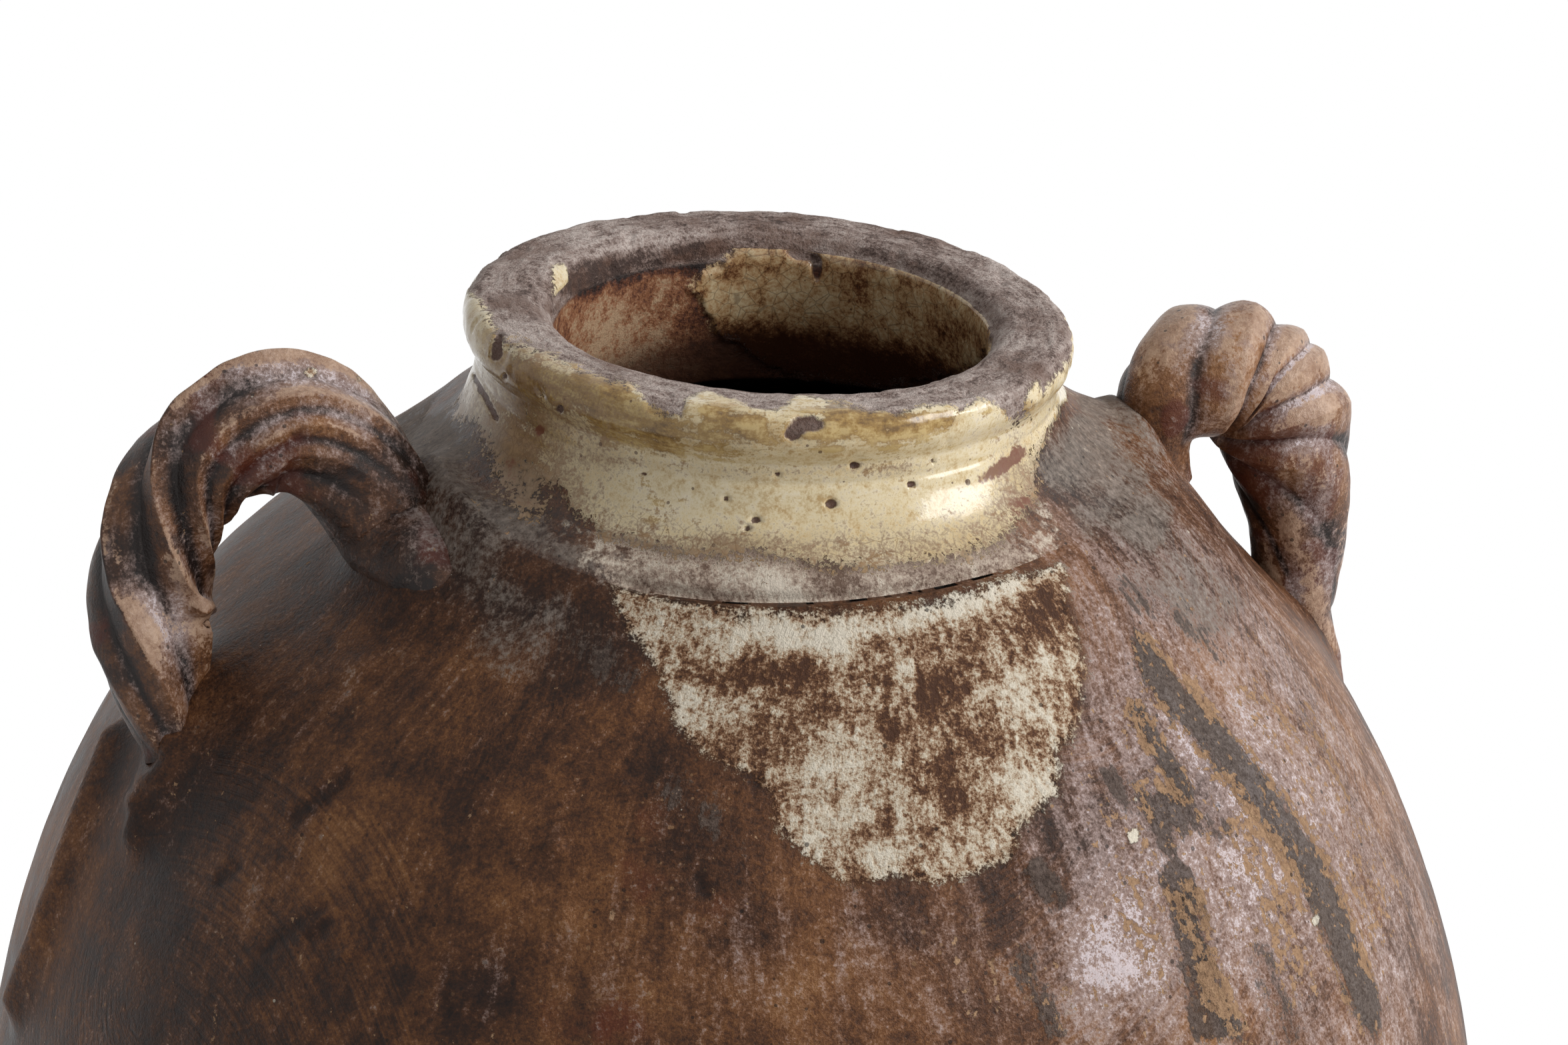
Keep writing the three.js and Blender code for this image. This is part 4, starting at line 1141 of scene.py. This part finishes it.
def clay_coats(paint):
    """Fired clay, and over it pale film with painted sheen and highlights, scum, crust, runs, scale, wear
    with painted light, slip and specks.
    """
    apron, pale, grey = paint.masks("coats")
    drip, tan, wear_and_painted_light = paint.masks("soil_wear_and_light")
    warm, dark_and_shade, red = paint.masks("tone")
    haze_and_sheen, crust, grit = paint.masks("film_and_sheen")
    broad = paint.noise(75, 5, 0.6)
    patch = paint.noise(15, 5, 0.62, warp=0.15)
    flake = paint.noise(6.0, 5, 0.62, paint.stretched("flow", 1, 1, 0.4), 0.1)
    fine = paint.noise(2.3, 4, 0.7)
    grain = paint.noise(0.9, 3, 0.7)
    streak = paint.noise(7, 5, 0.62, paint.stretched("flow", 1, 1, 0.14))
    arcs = paint.noise(1.7, 3, 0.6, paint.stretched("arcs", 0.025, 1, 0))
    arcs = paint.times(arcs, paint.masks("arcs")[2])

    # Base clay, lighter under haze and painted sheen, darker under dark patches and painted shade
    paint.colour = paint.tones(
        CLAY, 0.47, (broad, 0.5), (patch, 0.4), (fine, 0.34), (grain, 0.3), (streak, 0.22), (arcs, 0.4),
        (warm, 0.26), (dark_and_shade, -0.3), (haze_and_sheen, 0.26))
    paint.roughness = paint.total(0.42, (patch, 0.16), (fine, 0.12))
    paint.relief = paint.total(0.0, (patch, 0.3), (fine, 0.3), (grain, 0.14), (arcs, 0.4))
    blush = paint.cover((0.3, 0.8), red, (patch, 0.8), (broad, 0.5), most=0.7)
    paint.stain(blush, tint(88, 40, 28))

    # Pale film with painted sheen, then crisp painted highlights of the key light where the sheen is
    # strongest
    film_and_sheen = paint.cover(
        (0.2, 0.95), 0.0, (haze_and_sheen, 0.85), (patch, 0.45), (streak, 0.9), (fine, 0.7), (grain, 0.5), most=0.7)
    film_and_sheen_colour = paint.tones(FILM_AND_SHEEN, 0.32, (haze_and_sheen, 0.2), (fine, 0.6), (patch, 0.3), (grain, 0.4))
    paint.lay(film_and_sheen, film_and_sheen_colour, 0.3)
    glint = paint.cover((1.15, 1.5), haze_and_sheen, (fine, 1.1), (grain, 1.0), (patch, 0.7), (streak, 0.6), most=0.7)
    paint.stain(glint, tint(216, 204, 208))

    scum = paint.cover((0.25, 0.7), grey, (patch, 0.7), (fine, 0.6), (grain, 0.3), most=0.8)
    paint.lay(scum, paint.tones(SCUM, 0.5, (fine, 0.7), (flake, 0.4)), 0.8)

    bubbled = paint.cover((0.38, 0.56), crust, (patch, 0.5), (streak, 0.6), (fine, 0.4), most=0.9)
    bubbled_colour = paint.tones(BUBBLED, 0.5, (fine, 0.7), (grain, 0.4))
    paint.lay(bubbled, bubbled_colour, 0.5, (paint.times(bubbled, fine), 0.6), (bubbled, 0.2))

    run = paint.cover((0.4, 0.56), drip, (streak, 0.5), (flake, 0.4), (fine, 0.4))
    paint.stain(paint.times(run, 0.9), paint.tones(RUN, 0.5, (fine, 0.6), (grain, 0.5)))
    paint.roughness = paint.ease(run, paint.roughness, 0.6)
    paint.relief = paint.total(paint.relief, (run, 0.3), (paint.times(run, grain), 0.3))

    beside = paint.maths("SUBTRACT", paint.spread(drip, 0.08, 0.4), paint.spread(drip, 0.55, 0.9))
    chips = paint.noise(3.2, 4, 0.6)
    scale = paint.cover(
        (0.56, 0.64), tan, (flake, 0.8), (chips, 1.1), (fine, 0.4), (streak, 0.4), (beside, 0.3))
    paint.lay(scale, paint.tones(SCALE, 0.5, (fine, 0.7), (grain, 0.4)), 0.72, (scale, -0.25))

    # Worn clay on the ropes, laid more where painted light falls on tops and on the lit side
    rubbed_and_lit = paint.cover((0.42, 0.66), wear_and_painted_light, (patch, 0.5), (flake, 0.6), (fine, 0.6), (grain, 0.4), most=0.9)
    paint.lay(rubbed_and_lit, paint.tones(RUBBED, 0.5, (fine, 0.6), (patch, 0.5)), 0.34, (rubbed_and_lit, -0.15))

    slip = paint.cover((0.38, 0.6), apron, (patch, 0.45), (fine, 0.45), (grain, 0.35))
    blotch = paint.noise(11, 5, 0.6)
    mottle = paint.total(-0.04, (pale, 0.92), (blotch, 0.7), (flake, 0.6), (fine, 0.9), (grain, 0.6))
    paint.lay(slip, paint.tones(APRON_SLIP, mottle), 0.56, (slip, 0.25), (paint.times(slip, mottle), 0.25))

    gritty = paint.cover((0.2, 0.8), grit, (patch, 0.6), (broad, 0.5))
    grains = paint.times(paint.specks(3.2, 0.6, 0.5), gritty)
    white = paint.specks(13, 0.5, 0.3)
    black = paint.specks(5, 0.6, 0.4)
    paint.stain(paint.times(grains, 0.6), tint(150, 116, 84))
    paint.stain(paint.times(white, 0.65), tint(206, 198, 182))
    paint.stain(paint.times(black, 0.7), tint(28, 20, 17))
    paint.relief = paint.total(paint.relief, (grains, 0.3), (black, -0.2))


def clay_material(name, shine):
    paint = Paint(bpy.data.materials.new(name))
    clay_coats(paint)
    return paint.done(shine)


def neck_material(name, shine):
    """The same clay under the worn band, the bare rim, the mouth's lining with painted shade deeper down, and
    the cream glaze.
    """
    paint = Paint(bpy.data.materials.new(name))
    clay_coats(paint)
    glaze, bare, inside = paint.masks("glazing")
    chip, stain, olive = paint.masks("damage")
    rust, beige, band_and_deep_shade = paint.masks("stains")
    broad = paint.noise(40, 4, 0.6)
    patch = paint.noise(9, 5, 0.65)
    fine = paint.noise(2.0, 4, 0.7)
    grain = paint.noise(0.9, 3, 0.7)
    outer = paint.maths("SUBTRACT", 1.0, inside)

    outer_band = paint.times(outer, band_and_deep_shade)
    band_share = paint.cover((0.22, 0.57), outer_band, (patch, 0.9), (fine, 0.5), most=0.92)
    band_colour = paint.tones(
        BAND, 0.5, (broad, 0.3), (patch, 0.7), (fine, 0.8), (grain, 0.5), (beige, 0.45))
    paint.lay(band_share, band_colour, 0.6)

    turning = paint.noise(3.0, 4, 0.6, paint.stretched("flow", 0.08, 0.08, 1))
    charred = paint.spread(paint.masks("soil_wear_and_light")[2], 0.0, -1.0)
    stone = paint.tones(
        RIM_STONE, 0.57, (broad, 0.4), (patch, 0.45), (fine, 0.6), (grain, 0.5), (turning, 0.6),
        (charred, -0.5))
    browned = paint.cover(
        (-0.05, 0.4), 0.0, (broad, -0.8), (patch, 0.7), (fine, 0.3), (charred, 0.2), most=0.7)
    stone = paint.mix(browned, stone, tint(104, 76, 62))
    bare_share = paint.cover((0.3, 0.7), bare, (patch, 0.3))
    rough_stone = paint.total(0.0, (fine, 0.6), (turning, 0.5), (grain, 0.2))
    paint.lay(bare_share, stone, 0.8, (paint.times(bare_share, rough_stone), 1.0))

    lining = paint.tones(
        BORE_RUST, rust, (charred, -0.2), (broad, 0.4), (patch, 0.6), (fine, 0.5), (grain, 0.3))
    lining_share = paint.times(inside, paint.maths("SUBTRACT", 1.0, bare_share))
    paint.lay(lining_share, lining, 0.6)

    crackle = paint.cells(5.0, "DISTANCE_TO_EDGE").outputs["Distance"]
    crackle = paint.spread(crackle, 0.012, 0.05, 1, 0)
    crackled = paint.cover((0.35, 0.9), stain, (broad, 0.9), (inside, 0.8), most=0.5)
    ivory = paint.tones(IVORY, 0.54, (broad, 0.4), (patch, 0.55), (fine, 0.5), (grain, 0.3))
    washed = paint.cover(
        (0.18, 0.56), olive, (turning, 0.8), (patch, 0.9), (broad, 0.6), (fine, 0.7), (grain, 0.4), most=0.9)
    wash_colour = paint.tones(OCHRE, 0.48, (turning, 0.9), (patch, 0.8), (fine, 0.6))
    # Brown soaking of the glaze, which on the collar's left also paints shade
    soaked_and_shaded = paint.cover((0.3, 1.1), stain, (patch, 0.9), (fine, 1.0), (grain, 0.8), most=0.9)
    soak_colour = paint.tones(SOAKED, 0.5, (patch, 0.5), (fine, 0.7))
    rusty = paint.cover((0.35, 0.7), paint.times(rust, outer), (patch, 0.9), (fine, 0.5), most=0.85)
    # Glaze of the mouth's lining, painted darker deeper down as shade
    lining_glaze_and_shade = paint.tones(
        LINING_GLAZE_AND_SHADE, 0.62, (broad, 0.5), (patch, 0.6), (fine, 0.5), (grain, 0.3), (band_and_deep_shade, -0.5),
        (stain, -0.25))
    pinholes = paint.specks(6, 0.5, 0.5)
    pocks = paint.specks(11, 0.9, 0.4)
    for share, colour in (
        (washed, wash_colour),
        (soaked_and_shaded, soak_colour),
        (paint.times(crackle, crackled), tint(120, 90, 60)),
        (rusty, tint(108, 58, 40)),
        (inside, lining_glaze_and_shade),
        (paint.times(paint.times(crackle, inside), 0.45), tint(74, 54, 40)),
        (paint.times(pocks, 0.8), tint(84, 58, 40)),
        (paint.times(pinholes, 0.75), tint(88, 62, 44)),
    ):
        ivory = paint.mix(share, ivory, colour)

    ragged = paint.times(paint.total(0.0, (patch, 0.4), (fine, 0.7), (grain, 0.5)), stain)
    coat = paint.cover((0.42, 0.56), glaze, (patch, 0.28), (fine, 0.24), (ragged, 1.3))
    kept = paint.spread(paint.total(chip, (patch, 0.3), (fine, 0.2)), 0.4, 0.6, 1, 0)
    coat = paint.times(coat, kept)
    broken = paint.times(paint.maths("SUBTRACT", 1.0, kept), outer)
    paint.stain(paint.times(broken, 0.8), tint(88, 62, 50))
    paint.lay(coat, ivory, paint.total(0.13, (patch, 0.08), (soaked_and_shaded, 0.25)))
    smooth_relief = paint.total(0.3, (patch, 0.08), (fine, 0.012), (pinholes, -0.2))
    paint.relief = paint.ease(coat, paint.relief, smooth_relief)
    # Painted shade towards the bottom of the mouth
    paint.stain(paint.times(paint.times(inside, band_and_deep_shade), 0.85), tint(66, 40, 27))
    return paint.done(shine)


clay = clay_material("worn_clay", 0.15)
handle_clay = clay_material("handled_clay", 0.3)
glazed = neck_material("glazed_neck", 0.34)

# Node, slot and material of each turned piece
LATHE_PIECES = [
    ("base_slab", "foot_clay", clay),
    ("lower_wall", "foot_clay", clay),
    ("belly_wall", "body_clay", clay),
    ("shoulder_wall", "body_clay", clay),
    ("neck_collar", "cream_glaze", glazed),
    ("rim_ring", "bare_rim", glazed),
]


def masks_at(masks, where):
    return {key: tuple(layer[where] for layer in value) for key, value in masks.items()}


for node, slot_name, material in LATHE_PIECES:
    parts = [index for index, (section, _) in enumerate(SECTIONS) if section == node]
    rows = np.concatenate([np.arange(starts[k], starts[k + 1] + 1) for k in parts])
    masks = masks_at(skin_masks, rows)
    add_piece("jar_" + node, skin[rows], skin_normal[rows], masks, [node], material, ring=True)

for side, handle in (("left", LEFT), ("right", RIGHT)):
    distance, points, crest, edges, middle = ropes[side]
    points, normal, masks = dressed_rope(handle, distance, points, crest, middle)
    low, high = np.searchsorted(distance, handle["span"])
    for foot, rows in (("upper_foot", slice(0, low + 1)), ("lower_foot", slice(high, None))):
        name = f"{side}_handle_{foot}"
        foot_masks = masks_at(masks, rows)
        add_piece("jar_" + name, points[rows], normal[rows], foot_masks, [name], handle_clay)
    rows = slice(low, high + 1)
    core = middle[rows, None]
    for strand in range(len(edges) - 1):
        name = f"{side}_handle_strand_{strand + 1}"
        columns = np.arange(edges[strand], edges[strand + 1] + 1) % edges[-1]
        strand_points = np.concatenate([points[rows, columns], core], 1)
        strand_normal = np.concatenate([normal[rows, columns], 0 * core], 1)
        columns = np.append(columns, columns[0])
        strand_masks = masks_at(masks, (rows, columns))
        add_piece(
            "jar_" + name, strand_points, strand_normal, strand_masks, [name], handle_clay)

# Floor, light and camera

FLOOR_HALF, FLOOR_DROP = 40.0, 0.0005
# Distance from the jar, in metres, over which the floor fades to plain white
FLOOR_FADE = (0.4, 0.62)
# Range of a direction's part, and the light's level at each end of it
LIGHT_SIDEWAYS = (-1.0, 1.0, 0.22, 0.6)
LIGHT_UPWARD = (0.0, 1.0, 0.85, 1.3)
LIGHT_AIM = Vector((0.0, 0.0, 0.55))
KEY_TOWARDS = Vector((0.862, -0.197, 0.470))
KEY_AWAY, KEY_SIZE, KEY_POWER = 2.2, 0.9, 34.0


def stage_floor():
    """A grey floor that keeps the jar's shadow and looks white further off."""
    mesh = bpy.data.meshes.new("floor")
    signs = ((-1, -1), (1, -1), (1, 1), (-1, 1))
    mesh.from_pydata([(x * FLOOR_HALF, y * FLOOR_HALF, -FLOOR_DROP) for x, y in signs], [], [(0, 1, 2, 3)])
    paint = Paint(bpy.data.materials.new("pale_floor"))
    away = paint.node("ShaderNodeVectorMath", operation="LENGTH")
    paint.feed(away.inputs[0], paint.here)
    far = paint.spread(away.outputs["Value"], *FLOOR_FADE)
    dull = paint.node("ShaderNodeBsdfDiffuse")
    dull.inputs["Color"].default_value = (0.8, 0.8, 0.8, 1)
    bright = paint.node("ShaderNodeEmission")
    joined = paint.node("ShaderNodeMixShader")
    given = (paint.times(far, paint.straight_rays()), dull.outputs[0], bright.outputs[0])
    for socket, value in zip(joined.inputs, given):
        paint.feed(socket, value)
    output = paint.node("ShaderNodeOutputMaterial")
    paint.feed(output.inputs["Surface"], joined.outputs[0])
    mesh.materials.append(paint.owner)
    floor = bpy.data.objects.new("floor", mesh)
    bpy.context.scene.collection.objects.link(floor)


def stage_world():
    """White to look at, with soft light on the jar that is stronger from the right and from above."""
    world = bpy.data.worlds.new("studio")
    paint = Paint(world)
    direction = paint.split(paint.node("ShaderNodeTexCoord").outputs["Generated"])
    sideways = paint.spread(direction["X"], *LIGHT_SIDEWAYS, kind="LINEAR")
    upward = paint.spread(direction["Z"], *LIGHT_UPWARD, kind="LINEAR")
    sky = paint.node("ShaderNodeBackground")
    sky.inputs["Color"].default_value = (1, 1, 1, 1)
    strength = paint.ease(paint.straight_rays(), paint.times(sideways, upward), 1.0)
    paint.feed(sky.inputs["Strength"], strength)
    output = paint.node("ShaderNodeOutputWorld")
    paint.feed(output.inputs["Surface"], sky.outputs[0])
    bpy.context.scene.world = world


def stage_key():
    lamp = bpy.data.lights.new("key", "AREA")
    lamp.size = KEY_SIZE
    lamp.energy = KEY_POWER
    light = bpy.data.objects.new("key", lamp)
    light.location = LIGHT_AIM + KEY_TOWARDS.normalized() * KEY_AWAY
    light.rotation_euler = KEY_TOWARDS.to_track_quat("Z", "Y").to_euler()
    bpy.context.scene.collection.objects.link(light)


stage_floor()
stage_world()
stage_key()
camera = bpy.data.objects.new("camera", bpy.data.cameras.new("camera"))
camera.data.lens = LENS
camera.data.sensor_width = SENSOR
camera.data.sensor_fit = "HORIZONTAL"
camera.location = EYE * MM
camera.rotation_euler = (math.pi / 2 - PITCH, 0.0, 0.0)
bpy.context.scene.collection.objects.link(camera)
bpy.context.scene.camera = camera
bpy.context.scene.view_settings.view_transform = "Standard"
